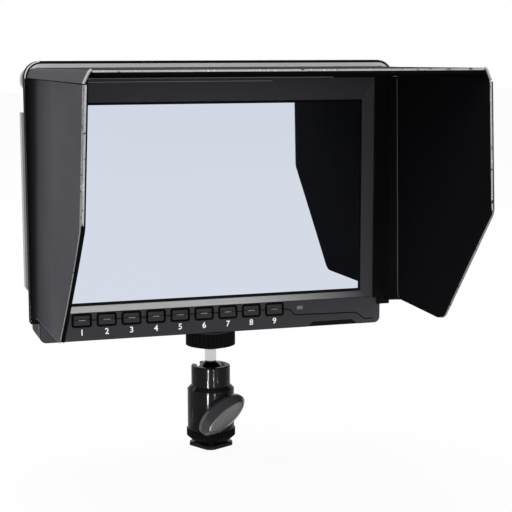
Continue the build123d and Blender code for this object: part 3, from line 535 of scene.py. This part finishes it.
# The wing knob is turned a little about its screw, in degrees.
knob = {
    "axis": (0.109734, -0.993961, 0),
    "centre": (0, 0, 0.0199),
    "turn": -6.0,
    "edge": 0.35,
}
knobTurn = (Matrix.Translation(knob["centre"])
            @ Matrix.Rotation(math.radians(knob["turn"]), 4, Vector(knob["axis"]))
            @ Matrix.Translation([-c for c in knob["centre"]]))
roundedCopy("wing_knob", "wingKnob", "clamp", "knob", knob["edge"], knobTurn)

# The key row: caps with a ridge painted pale as a highlight, near-black rings of painted shade
# round them, and a number under each key.
keyRow = {
    "count": 9,
    "first": -69.2,
    "pitch": 12.55,
    "height": 10.45,
    "capEdge": 0.3,
    "wellHalf": 5.15,
    "wellTall": 3.55,
    "wellCorner": 1.4,
    "holeHalf": 4.5,
    "holeTall": 2.9,
    "holeCorner": 0.9,
    "ridgeHalf": 1.7,
    "ridgeRadius": 0.13,
    "ridgeHeight": 0.15,
    "ridgeProud": 0.32,
    "ridgeSag": 0.02,
    "legendHeight": 4.3,
    "legendSize": 4.2,
    "legendBold": 0.07,
    "printDepth": 0.02,
}
for number in range(1, keyRow["count"] + 1):
    key = f"button_{number}"
    roundedCopy(key, f"button{number}", key, "key", keyRow["capEdge"])


def roundRectangle(halfWidth, halfHeight, corner, steps=4):
    points = []
    for signX, signZ, first in ((1, 1, 0), (-1, 1, 90), (-1, -1, 180), (1, -1, 270)):
        for step in range(steps + 1):
            turn = math.radians(first + 90 * step / steps)
            points.append((signX * (halfWidth - corner) + corner * math.cos(turn),
                           signZ * (halfHeight - corner) + corner * math.sin(turn)))
    return points


def frameRing(shape, centre, outer, inner, y, thickness=0.03):  # a flat ring on the face: printed for the screen's border, painted shade round the keys
    front = y - thickness
    joinLoops(shape, [[(centre[0] + x, depth, centre[1] + z) for x, z in ring] for ring, depth in (
        (outer, y), (inner, y), (inner, front), (outer, front), (outer, y))])


keyMiddles = [keyRow["first"] + keyRow["pitch"] * number for number in range(keyRow["count"])]
# near-black rings of painted shade round each key's hole
shadeRings = bmesh.new()
wellRings = [roundRectangle(keyRow[f"{part}Half"], keyRow[f"{part}Tall"], keyRow[f"{part}Corner"])
             for part in ("well", "hole")]
for middle in keyMiddles:
    frameRing(shadeRings, (middle, baseZ + keyRow["height"]), *wellRings, frontY)
toPiece("keyWells", shadeRings, "monitor", "well")

# each ridge is a pale bar, a painted highlight on its key
for number, middle in enumerate(keyMiddles, 1):
    ridgeY = frontY - keyRow["ridgeProud"]
    ridgeZ = baseZ + keyRow["height"] + keyRow["ridgeHeight"]
    path = []
    for share in (-1, -0.5, 0, 0.5, 1):
        x = keyRow["ridgeHalf"] * share
        sag = x * x * keyRow["ridgeSag"]
        path.append((middle + x, ridgeY + sag, ridgeZ - sag))
    ridgeHighlight = curveShape(path, keyRow["ridgeRadius"])
    toPiece(f"keyRidge{number}", ridgeHighlight, f"button_{number}", "ridgeHighlight")

legends = bmesh.new()
for number, middle in enumerate(keyMiddles, 1):
    writing = bpy.data.curves.new("legend", "FONT")
    writing.body = str(number)
    writing.size = keyRow["legendSize"]
    writing.align_x = "CENTER"
    writing.align_y = "CENTER"
    writing.extrude = keyRow["printDepth"]
    writing.offset = keyRow["legendBold"]
    writing.resolution_u = 3
    mesh = meshOfCurve(writing)
    place = (middle, frontY - keyRow["printDepth"], baseZ + keyRow["legendHeight"])
    mesh.transform(Matrix.Translation(place) @ Matrix.Rotation(math.pi / 2, 4, "X"))
    legends.from_mesh(mesh)
    bpy.data.meshes.remove(mesh)
toPiece("keyLegends", legends, "monitor", "legend")

print("stage: screen")
screen = {
    "cornerRound": 0.6,
    "edgeRound": 0.15,
    "cornerSegments": 4,
    "borderWidth": 1.3,
    "borderCorner": 0.3,
    "borderProud": 0.03,
    "windowHalf": 79.7,
    "windowLow": 17.4,
    "windowHigh": 117.7,
    "bevelLow": 14.0,
    "bevelHalf": 85.0,
    "faceWall": 3.0,
    "trimShares": (0.1, 0.9),
    "trimProud": 0.12,
    "trimSunk": 0.2,
}
glassLow, glassHigh = [end * 1000 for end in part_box("screen_glass")]
pane = bmesh.new()
addBlock(pane, (-glassHigh.x, glassLow.y, glassLow.z), glassHigh)
paneCorners = [e for e in pane.edges if abs(e.verts[0].co.y - e.verts[1].co.y) > 1e-6]
roundEdges(pane, paneCorners, screen["cornerRound"], screen["cornerSegments"])
toPiece("screenGlass", pane, "monitor", "screen", ("screen_glass",),
        bevel=screen["edgeRound"])

windowHalf = screen["windowHalf"]
windowMiddle = (screen["windowLow"] + screen["windowHigh"]) / 2
windowTall = (screen["windowHigh"] - screen["windowLow"]) / 2
border = bmesh.new()
borderRings = [roundRectangle(windowHalf - inset, windowTall - inset, screen["borderCorner"])
               for inset in (0, screen["borderWidth"])]
frameRing(border, (0, baseZ + windowMiddle), *borderRings, glassLow.y - screen["borderProud"])
toPiece("screenBorder", border, "monitor", "mask")

# The strip on the lower bevel, between the keys and the screen, is a painted highlight that fades
# into painted shade towards the right.
trimEnds = [(mix(screen["bevelHalf"], windowHalf, share), frontY + screen["faceWall"] * share,
             baseZ + mix(screen["bevelLow"], screen["windowLow"], share))
            for share in screen["trimShares"]]
slope = Vector((0, screen["faceWall"], screen["windowLow"] - screen["bevelLow"])).normalized()
lift = Vector((0, -slope.z, slope.y)) * screen["trimProud"]
trim = loftLoops([
    [Vector((side * x, y, z)) + lift for x, y, z in trimEnds]
    + [Vector((side * x, y, z)) - lift * screen["trimSunk"] for x, y, z in reversed(trimEnds)]
    for side in (-1, 1)])
toPiece("lowerTrim", trim, "monitor", "trim")

# Painted highlights on the frame's rim: a pale band above the hood's top, pale beads on the outer
# edges and on the right wall, and two pale lines on edges.
rim = {
    "half": 94.5,
    "top": 137.9,
    "corner": 8.0,
    "faceDepth": -1.6,
    "bandFrom": 1.3,
    "bandTo": (1.9, 3.2),
    "bandTurn": (12, 90),
    "bandSteps": 10,
    "bandDepths": (0.02, -0.05),
    "beadRadius": 0.3,
    "beadInset": 0.3,
    "beadProud": 0.1,
    "beadLow": 12.0,
    "beadTurn": 85,
    "beadSteps": 8,
    "wallBead": ((93.0, 16.2), (92.6, 16.5), (92.2, 17.3), (92.05, 18.4), (91.9, 24),
                 (89.95, 128.6)),
    "wallBeadRadius": 0.2,
    "wallDepth": -18.7,
    "lines": (
        ("frameOpeningLine", 129.4, -1.6, 86.0, 62.0, "hood_black"),
        ("bevelTopLine", 127.7, 0.0, 84.6, 30.0, "casing_black"),
    ),
    "lineRadius": 0.2,
}


def rimPoint(side, reach, degrees):  # across and up, on a circle about the frame's upper corner
    turn = math.radians(degrees)
    return (side * (rim["half"] - rim["corner"] + reach * math.cos(turn)),
            rim["top"] - rim["corner"] + reach * math.sin(turn))


faceY = frontY + rim["faceDepth"]
back, front = rim["bandDepths"]
bandLoops = []  # from the left corner to the right one
for side in (-1, 1):
    for step in range(rim["bandSteps"] + 1):
        share = step / rim["bandSteps"] if side < 0 else 1 - step / rim["bandSteps"]
        turn = mix(*rim["bandTurn"], share)
        outer = rimPoint(side, rim["corner"] - rim["bandFrom"], turn)
        inner = rimPoint(side, rim["corner"] - mix(*rim["bandTo"], share), turn)
        bandLoops.append([(x, faceY + depth, baseZ + z) for (x, z), depth in (
            (outer, back), (inner, back), (inner, front), (outer, front))])
toPiece("frameBand", loftLoops(bandLoops), "monitor", "rimLight")

for side, word, surface in ((-1, "left", "rimLight"), (1, "right", "dimLight")):
    beadY = faceY + rim["beadRadius"] - rim["beadProud"]
    path = [(side * (rim["half"] - rim["beadInset"]), beadY, baseZ + rim["beadLow"])]
    for step in range(rim["beadSteps"] + 1):
        x, z = rimPoint(side, rim["corner"] - rim["beadInset"],
                        rim["beadTurn"] * step / rim["beadSteps"])
        path.append((x, beadY, baseZ + z))
    bead = curveShape(path, rim["beadRadius"])
    toPiece(f"{word}FrameBead", bead, "monitor", surface)
path = [(x, frontY + rim["wallDepth"], baseZ + height) for x, height in rim["wallBead"]]
wallBead = curveShape(path, rim["wallBeadRadius"])
toPiece("rightWallBead", wallBead, "monitor", "dimLight")
# two pale lines of painted highlight, on the frame opening's edge and the bezel's top edge
for name, height, depth, left, right, slotName in rim["lines"]:
    path = [(x, frontY + depth, baseZ + height) for x in (-left, 0, right)]
    line = curveShape(path, rim["lineRadius"])
    toPiece(name, line, "monitor", "edgeHighlight")

# The tongues with their contacts inside the two wide sockets at the back.
sockets = {
    "places": (-70.0, -48.0),
    "height": 30.6,
    "backDepth": 29.0,
    "tongueHalf": 5.6,
    "tongueTall": 0.8,
    "tongueDepths": (-12.2, -2.2),
    "tongueEdge": 0.2,
    "contactCount": 9,
    "contactHalf": 0.25,
    "contactDepths": (-9, -2.8),
    "contactHeights": (-0.06, 0.02),
}
tongues, contacts = bmesh.new(), bmesh.new()
backY, socketZ = frontY + sockets["backDepth"], baseZ + sockets["height"]
half, tall = sockets["tongueHalf"], sockets["tongueTall"]
for x in sockets["places"]:
    near, far = [backY + depth for depth in sockets["tongueDepths"]]
    addBlock(tongues, (x - half, near, socketZ - tall), (x + half, far, socketZ + tall))
    near, far = [backY + depth for depth in sockets["contactDepths"]]
    low, high = [socketZ - tall + height for height in sockets["contactHeights"]]
    for step in range(sockets["contactCount"]):
        middle = x + step - (sockets["contactCount"] - 1) / 2
        addBlock(contacts, (middle - sockets["contactHalf"], near, low),
                 (middle + sockets["contactHalf"], far, high))
roundEdges(tongues, tongues.edges[:], sockets["tongueEdge"], 2)
toPiece("socketTongues", tongues, "monitor", "socket")
toPiece("socketContacts", contacts, "monitor", "gold")

print("stage: hood")
hingeFoot = 19.4  # the side panels' heights count from here, above the monitor's foot
sidePanel = {
    "hinges": {"left": 16.0, "right": 19.2},
    "hingeHalf": 92.6,
    "lean": math.degrees(math.atan2(91.2 - 89.06, 126.0 - hingeFoot)),
    "toe": 1.7,
    "start": 2.0,
    "low": 16.4 - hingeFoot,
    "high": 129.6 - hingeFoot,
    "topReach": 125.8,
    "cornerReach": 127.1,
    "cornerHigh": 72.8 - hingeFoot,
    "cornerRound": 5.0,
    "tipReach": 74.9,
    "tipLow": 16.1 - hingeFoot,
    "tipRounds": {"left": 1.2, "right": 9.0},
    "slantInset": 0.4,
    "layers": (
        ("Board", -1.4, -0.9, "sideCloth", "hood_cloth", 0.0),
        ("Core", -0.9, 0.3, "core", "hood_lining", 0.25),
        ("Lining", 0.3, 1.0, "lining", "hood_lining", 0.0),
    ),
    "cell": 3.0,
    "flares": {"left": (0.4, 1.8), "right": (0.2, 0.7)},
    "flareFade": 1.05,
    "bow": 0.5,
    "unevenness": 0.12,
    "waveLength": 22,
    "waveSeed": 3.1,
    "hemFrom": 2.6,
    "hemTo": 1.7,
    "hemBelow": 1,
    "hemAbove": 1.7,
    "hemCell": 1.3,
    "hemDepths": (0.3, 1.1),
    "bindings": {
        "left": (("front", -0.1, 0.22, 0.22, "binding"), ("front", -0.95, 0.28, 0.2, "thinBinding"),
                 ("lower", -1.15, 0.1, 0.16, "thinBinding")),
        "right": (("front", -0.35, 0.2, 0.2, "binding"), ("lower", -0.9, 0.2, 0.18, "thinBinding")),
    },
    "bindingCuts": 6,
}


def sidePoints(word, inset=0.0):
    p, hingeDepth = sidePanel, sidePanel["hinges"][word]
    slanting = inset * p["slantInset"]
    return roundedOutline([
        (p["start"] + inset, p["low"] + inset, 0),
        (p["tipReach"] - hingeDepth - slanting, p["tipLow"] + inset, p["tipRounds"][word]),
        (p["cornerReach"] - hingeDepth - inset, p["cornerHigh"] - slanting, p["cornerRound"]),
        (p["topReach"] - hingeDepth - inset, p["high"] - inset, 0),
        (p["start"] + inset, p["high"] - inset, 0),
    ])


def panelPlace(side, hingeDepth):
    lean, toe = math.radians(sidePanel["lean"]), math.radians(sidePanel["toe"])
    inward = Vector((-math.cos(lean), 0, -math.sin(lean)))
    forward = Vector((0, -1, 0))
    xAxis = forward * math.cos(toe) + inward * math.sin(toe)
    zAxis = inward * math.cos(toe) - forward * math.sin(toe)
    turn = Matrix((xAxis, zAxis.cross(xAxis), zAxis)).transposed().to_4x4()
    hingePlace = (sidePanel["hingeHalf"], frontY - hingeDepth, baseZ + hingeFoot)
    place = Matrix.Translation(hingePlace) @ turn
    return place if side > 0 else Matrix.Scale(-1, 4, (1, 0, 0)) @ place


def flareOut(shape, word):  # the panel's front leans outward, most of all at its lower corner
    atTop, atCorner = sidePanel["flares"][word]
    bend, reach = sidePanel["cornerHigh"], sidePanel["cornerReach"] - sidePanel["hinges"][word]
    fade, drop = sidePanel["flareFade"], bend - sidePanel["tipLow"]
    for vert in shape.verts:
        if vert.co.y > bend:
            amount = mix(atCorner, atTop, (vert.co.y - bend) / (sidePanel["high"] - bend))
        else:
            amount = atCorner * max(0, 1 - fade * (bend - vert.co.y) / drop)
        vert.co.z -= amount * (max(0, vert.co.x) / reach) ** 2


def bowSheet(shape, side, word):  # a slight swell outward, with a faint unevenness
    reach = sidePanel["cornerReach"] - sidePanel["hinges"][word]
    low, tall = sidePanel["low"], sidePanel["high"] - sidePanel["low"]
    length, seed = sidePanel["waveLength"], sidePanel["waveSeed"] * side
    for vert in shape.verts:
        x, y = vert.co.x / reach, (vert.co.y - low) / tall
        swell = math.sin(math.pi * min(1, max(0, x))) * math.sin(math.pi * min(1, max(0, y)))
        wave = noise.noise(Vector((vert.co.x / length, vert.co.y / length, seed)))
        vert.co.z -= sidePanel["bow"] * swell + sidePanel["unevenness"] * wave * swell


def thicken(shape, low, high):  # a sheet becomes a solid layer between two depths
    bmesh.ops.recalc_face_normals(shape, faces=shape.faces)
    if sum(face.normal.z for face in shape.faces) < 0:
        bmesh.ops.reverse_faces(shape, faces=shape.faces[:])
    bmesh.ops.translate(shape, vec=(0, 0, low), verts=shape.verts)
    walls = bmesh.ops.extrude_face_region(shape, geom=shape.faces[:], use_keep_orig=True)
    lifted = [item for item in walls["geom"] if isinstance(item, bmesh.types.BMVert)]
    bmesh.ops.translate(shape, vec=(0, 0, high - low), verts=lifted)


def flatSize(points):  # the cut piece's width, length and area, in metres
    xs, ys = [p.x for p in points], [p.y for p in points]
    area = abs(sum(a.x * b.y - b.x * a.y for a, b in zip(points, points[1:] + points[:1]))) / 2
    return ((max(xs) - min(xs)) * 0.001, (max(ys) - min(ys)) * 0.001), area * 1e-6


def named(word, surface):  # left and binding make leftBinding
    return word + surface[0].upper() + surface[1:]


def addLayers(panel, word, place, side=0):  # board, core and lining; only side panels are bowed
    for part, low, high, surface, slotName, inset in panel["layers"]:
        outline = sidePoints(word, inset) if side else topPoints(inset)
        shape = cutSheet(outline, panel["cell"])
        if side:
            bowSheet(shape, side, word)
            flareOut(shape, word)
        thicken(shape, low, high)
        stands = () if part == "Core" else (f"{word}_{part.lower()}",)
        layer = toPiece(f"{word}{part}", shape, f"{word}_panel", surface, stands, 40,
                        place=place)
        if stands:
            flat, area = flatSize(outline)


for side, word in ((-1, "left"), (1, "right")):
    hingeDepth = sidePanel["hinges"][word]
    place = panelPlace(side, hingeDepth)
    addLayers(sidePanel, word, place, side)
    outline = sidePoints(word)
    runs = {"lower": outline[:-3], "front": outline[-4:-1]}  # they meet on the corner's arc
    cuts = sidePanel["bindingCuts"]
    for edge, middle, half, radius, surface in sidePanel["bindings"][word]:
        run = runs[edge]
        path = [here.lerp(there, step / cuts) for here, there in zip(run, run[1:])
                for step in range(cuts)] + run[-1:]
        tape = curveShape([(p.x, p.y, middle) for p in path], radius, half)
        flareOut(tape, word)
        toPiece(named(word, surface), tape, f"{word}_panel", surface, place=place)
    # A hem along the top shuts the gap under the corner flap.
    near, far = sidePanel["hemFrom"], sidePanel["topReach"] - hingeDepth - sidePanel["hemTo"]
    low, high = sidePanel["high"] - sidePanel["hemBelow"], sidePanel["high"] + sidePanel["hemAbove"]
    hemPoints = [Vector(p) for p in ((near, low), (far, low), (far, high), (near, high))]
    hem = cutSheet(hemPoints, sidePanel["hemCell"])
    thicken(hem, *sidePanel["hemDepths"])
    flareOut(hem, word)
    toPiece(f"{word}Hem", hem, f"{word}_panel", "lining", place=place)

topPanel = {
    "hingeDepth": 22.4,
    "hingeHeight": 133.2,
    "rise": 0.45,
    "backHalf": 87.8,
    "taper": 0.03,
    "start": 2.0,
    "reach": 125.1,
    "cell": 3.5,
    "layers": (
        ("Board", 0.7, 1.4, "topCloth", "hood_cloth", 0.0),
        ("Core", -0.7, 0.7, "core", "hood_lining", 0.25),
        ("Lining", -1.4, -0.7, "topLining", "hood_lining", 0.6),
    ),
    "bindingMiddle": 0.8,
    "bindingHalf": 0.2,
    "bindingRound": 0.22,
}


def topPoints(inset=0.0):
    reach = topPanel["reach"] - topPanel["hingeDepth"]
    back = topPanel["backHalf"] - topPanel["taper"] * topPanel["start"] - inset
    front = topPanel["backHalf"] - topPanel["taper"] * reach - inset
    near, far = -topPanel["start"] - inset, -reach + inset
    return [Vector(p) for p in ((-front, far), (front, far), (back, near), (-back, near))]


topHinge = (0, frontY - topPanel["hingeDepth"], baseZ + topPanel["hingeHeight"])
topPlace = Matrix.Translation(topHinge) @ Matrix.Rotation(-math.radians(topPanel["rise"]), 4, "X")
addLayers(topPanel, "top", topPlace)
path = [(p.x, p.y, topPanel["bindingMiddle"]) for p in topPoints()[:2]]  # the front edge
tape = curveShape(path, topPanel["bindingRound"], topPanel["bindingHalf"])
toPiece("topBinding", tape, "top_panel", "binding", place=topPlace)

# The cloth hinges are cut into narrow strips.
hinge = {
    "cell": 1.0,
    "lastCell": 0.2,
    "bendHalf": 2.0,
    "sideLow": 14.0,
    "sideHigh": 129.6,
}
sideWide = hinge["sideHigh"] - hinge["sideLow"]
for node, name, surface, pivotDepth, body, wide in (
    ("left_hinge_cloth", "leftHingeCloth", "sideCloth", sidePanel["hinges"]["left"],
     "left_panel", sideWide),
    ("right_hinge_cloth", "rightHingeCloth", "sideCloth", sidePanel["hinges"]["right"],
     "right_panel", sideWide),
    ("top_hinge_cloth", "topHingeCloth", "topCloth", topPanel["hingeDepth"],
     "top_panel", 2 * topPanel["backHalf"]),
):
    shape = nodeShape(node)
    low, high = [end.y * 1000 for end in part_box(node)]
    cut = low + hinge["cell"]
    while cut < high - hinge["lastCell"]:
        cutShape(shape, (0, cut * 0.001, 0), (0, 1, 0), 1e-7)
        cut += hinge["cell"]
    cloth = dressPiece(name, meshFrom(name, shape), None, surface, (node,), 30)
    pivotY = frontY - pivotDepth
    (pivotY + hinge["bendHalf"]) * 0.001
    (pivotY - hinge["bendHalf"]) * 0.001
    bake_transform(cloth)
    (high - low) * 0.001
    wide * 0.001

# The corner flaps fold down from the top panel's sides; paired values run from back to front.
flap = {
    "back": 1.65,
    "bend": 24.4,
    "front": 125.1,
    "splitBehind": 2,
    "edges": (88.1, 85.02),
    "tops": (134.6, 135.4),
    "cornerWidths": (92.2, 86.0),
    "cornerHeights": (134.2, 135.0),
    "lows": (93.4, 88.0),
    "low": 130.0,
    "rounds": (1.6, 0.9),
    "roundSteps": 6,
    "sideSteps": 5,
    "cell": 2.5,
    "fewestCells": 8,
    "layers": (
        ("CornerFlap", 0.0, 0.6, "flapCloth", "hood_cloth"),
        ("FlapLining", 0.6, 1.0, "lining", "hood_lining"),
    ),
    "spreads": {-1: 0.4, 1: 0.2},
    "spreadDrop": 4,
    "tapes": ((0.1, 0.22, 0.22, "binding"), (-0.35, 0.1, 0.18, "thinBinding")),
    "wrinkle": 0.25,
    "wrinkleAt": 22,
    "wrinkleReach": 14,
    "wrinkleTurns": 1.1,
    "keep": 0.25,
    "seam": 3.2,
}


def flapProfile(depth):
    share = (depth - flap["back"]) / (flap["front"] - flap["back"])
    late = max(0, (depth - flap["bend"]) / (flap["front"] - flap["bend"]))
    edge = Vector((mix(*flap["edges"], late), mix(*flap["tops"], late)))
    corner = Vector((mix(*flap["cornerWidths"], share), mix(*flap["cornerHeights"], late)))
    low = Vector((mix(*flap["lows"], share), flap["low"]))
    reach = mix(*flap["rounds"], share)
    toEdge, toLow = (edge - corner).normalized(), (low - corner).normalized()
    start, end = corner + toEdge * reach, corner + toLow * reach
    points = [edge]
    for step in range(flap["roundSteps"] + 1):
        s = step / flap["roundSteps"]
        points.append(start * (1 - s) ** 2 + corner * 2 * s * (1 - s) + end * s ** 2)
    for step in range(1, flap["sideSteps"] + 1):
        points.append(end.lerp(low, step / flap["sideSteps"]))
    return points


def flapWidth(depth):
    points = flapProfile(depth)
    return sum((there - here).length for here, there in zip(points, points[1:]))


def flapLoop(depth, side, outer, inner):  # a section between two depths under the skin
    points = flapProfile(depth)
    normals = []
    for index, point in enumerate(points):
        before, after = points[max(0, index - 1)], points[min(len(points) - 1, index + 1)]
        along = (after - before).normalized()
        normals.append(Vector((-along.y, along.x)))
    nearWrinkle = max(0, 1 - abs(depth - flap["wrinkleAt"]) / flap["wrinkleReach"])
    wave = abs(nearWrinkle * flap["wrinkle"] * math.sin(depth * flap["wrinkleTurns"]))
    loop = []
    for amount, order in ((outer, 1), (inner, -1)):
        run = [point - normal * (amount + wave * min(1, index / flap["roundSteps"]))
               for index, (point, normal) in enumerate(zip(points, normals))]
        loop += run[::order]
    forward = max(0, depth - flap["back"]) / (flap["front"] - flap["back"])
    spread = flap["spreads"][side] * forward ** 2
    places = []
    for point in loop:
        lower = min(1, max(0, (flap["tops"][0] - point.y) / flap["spreadDrop"]))
        places.append((side * (point.x + spread * lower), frontY - depth, baseZ + point.y))
    return places


split = topPanel["hingeDepth"] - flap["splitBehind"]  # the part behind stays on the monitor
for side, word in ((-1, "left"), (1, "right")):
    for part, outer, inner, surface, slotName in flap["layers"]:
        for end, first, last, body in (("Back", flap["back"], split, "monitor"),
                                       ("", split, flap["front"], "top_panel")):
            count = max(flap["fewestCells"], round((last - first) / flap["cell"]))
            depths = [mix(first, last, step / count) for step in range(count + 1)]
            shape = loftLoops([flapLoop(depth, side, outer, inner) for depth in depths])
            stands = (f"{word}_corner_flap",) if part == "CornerFlap" and not end else ()
            piece = toPiece(f"{word}{part}{end}", shape, body, surface, stands, 50)
            if body == "top_panel":
                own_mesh(piece)
            if part == "CornerFlap":
                widths = [flapWidth(depth) for depth in depths]
                cut = (max(widths) + flap["seam"], last - first)
                covered = sum(widths) / len(widths) * (last - first)
                cut[0] * 0.001
                cut[1] * 0.001
                covered * 1e-6
    for inward, half, radius, surface in flap["tapes"]:
        edgeLoop = flapLoop(flap["front"], side, -inward, -inward)
        tape = curveShape(edgeLoop[:len(edgeLoop) // 2], radius + half)
        piece = toPiece(named(f"{word}Flap", surface), tape, "top_panel", surface)
        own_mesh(piece)


print("stage: camera and lights")
camera = {
    "place": (-0.1840, -0.6724, 0.2053),
    "turn": 17.255,
    "drop": 8.586,
    "roll": -0.065,
    "lens": 96.15,
    "sensor": 36,
    "nearest": 0.01,
}
lens = bpy.data.cameras.new("camera")
lens.lens = camera["lens"]
lens.sensor_width = camera["sensor"]
lens.clip_start = camera["nearest"]
view = bpy.data.objects.new("camera", lens)
scene.collection.objects.link(view)
view.matrix_world = (
    Matrix.Translation(camera["place"])
    @ Matrix.Rotation(math.radians(-camera["turn"]), 4, "Z")
    @ Matrix.Rotation(math.radians(90 - camera["drop"]), 4, "X")
    @ Matrix.Rotation(math.radians(camera["roll"]), 4, "Z")
)
scene.camera = view

studio = {
    "floorHalf": 6.0,
    "floorHeight": -0.0002,
    "floorShade": 0.95,
    "worldLight": 0.33,
    "shadowShare": 0.05,
    "aim": (0, -0.05, 0.12),
    "lamps": [
        ("keyLamp", (-1.3, -1.3, 1.1), (1.0, 1.0), 13.0),
        ("fillLamp", (1.2, -1.4, 0.8), (0.9, 0.9), 5.0),
        ("topLamp", (0.0, 0.5, 1.8), (1.2, 1.2), 20.0),
        ("rimLamp", (-1.2, 0.9, 0.8), (0.8, 0.8), 6.0),
    ],
    "headDistance": 1.8,
    "headTall": 1.2,
    "headLamps": [
        ("leftSoftbox", 240, 0.12, 190.0),
        ("rightSoftbox", 274, 0.08, 45.0),
        ("knobSoftbox", 298, 0.5, 16.0),
        ("leftEdgeLamp", 150, 0.4, 4.0),
        ("rightEdgeLamp", 8, 0.4, 4.0),
    ],
    "frontLamp": ((-0.35, -1.3, 0.3), (0.6, 0.6), 11.0),
}


def addLamp(name, place, size, power, aim):
    lamp = bpy.data.lights.new(name, "AREA")
    lamp.shape = "RECTANGLE"
    lamp.size, lamp.size_y = size
    lamp.energy = power
    holder = bpy.data.objects.new(name, lamp)
    scene.collection.objects.link(holder)
    toward = (Vector(aim) - Vector(place)).to_track_quat("-Z", "Y")
    holder.matrix_world = Matrix.Translation(place) @ toward.to_matrix().to_4x4()
    return holder


def gather(name, pieces):
    group = bpy.data.collections.new(name)
    for piece in pieces:
        group.objects.link(piece)
    return group


def lightOnly(lamp, group):  # only these pieces are lit by the lamp or shade it
    lamp.light_linking.receiver_collection = group
    lamp.light_linking.blocker_collection = group


for values in studio["lamps"]:
    addLamp(*values, studio["aim"])

# These softboxes light only the gloss black ball head, and stay out of the screen's reflection.
# They stand half below the floor, which would hide them in the gloss if they were sampled.
headNames = ("ballBarrel", "shoeFoot", "wingKnob")
headPieces = gather("headPieces", [bpy.data.objects[name] for name in headNames]
                    + [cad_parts["clamp_screw"]])
for name, azimuth, wide, power in studio["headLamps"]:
    turn = math.radians(azimuth)
    place = (studio["headDistance"] * math.cos(turn), studio["headDistance"] * math.sin(turn), 0)
    lamp = addLamp(name, place, (wide, studio["headTall"]), power, (0, 0, 0))
    lamp.data.cycles.use_multiple_importance_sampling = False
    lightOnly(lamp, headPieces)

# This one brings out the strip, the numbers and the keys' ridges, which lie in the hood's shade.
faceNames = ["lowerTrim", "keyLegends"] + [f"keyRidge{n + 1}" for n in range(keyRow["count"])]
facePieces = gather("facePieces", [bpy.data.objects[name] for name in faceNames])
lightOnly(addLamp("frontLamp", *studio["frontLamp"], studio["aim"]), facePieces)


def seenRays(start):
    rays = [start.node("ShaderNodeLightPath", {}, {}, name)
            for name in ("Is Camera Ray", "Is Glossy Ray", "Is Transmission Ray")]
    return start.sum("MAXIMUM", start.sum("MAXIMUM", rays[0], rays[1]), rays[2])


world = bpy.data.worlds.new("studio")
scene.world = world
world.use_nodes = True
world.node_tree.nodes.clear()
start = Wire(world.node_tree)
strength = seenRays(start) * (1 - studio["worldLight"]) + studio["worldLight"]
glow = start.node("ShaderNodeBackground", {}, {"Color": (1, 1, 1, 1), "Strength": strength},
                  "Background")
start.node("ShaderNodeOutputWorld", {}, {"Surface": glow})

floorMaterial, start = newSurface("paleFloor")
floorColor = (studio["floorShade"],) * 3 + (1,)
ground = start.node("ShaderNodeBsdfDiffuse", {}, {"Color": floorColor}, "BSDF")
plain = start.node("ShaderNodeEmission", {}, {"Color": (1, 1, 1, 1), "Strength": 1.0}, "Emission")
share = seenRays(start) * (1 - studio["shadowShare"])
mixed = start.node("ShaderNodeMixShader", {}, {0: share, 1: ground, 2: plain}, "Shader")
start.node("ShaderNodeOutputMaterial", {}, {"Surface": mixed})
shape = bmesh.new()
bmesh.ops.create_grid(shape, x_segments=1, y_segments=1, size=studio["floorHalf"])
bmesh.ops.translate(shape, vec=(0, 0, studio["floorHeight"]), verts=shape.verts)
mesh = meshFrom("floor", shape)
mesh.materials.append(floorMaterial)
floor = bpy.data.objects.new("floor", mesh)
scene.collection.objects.link(floor)
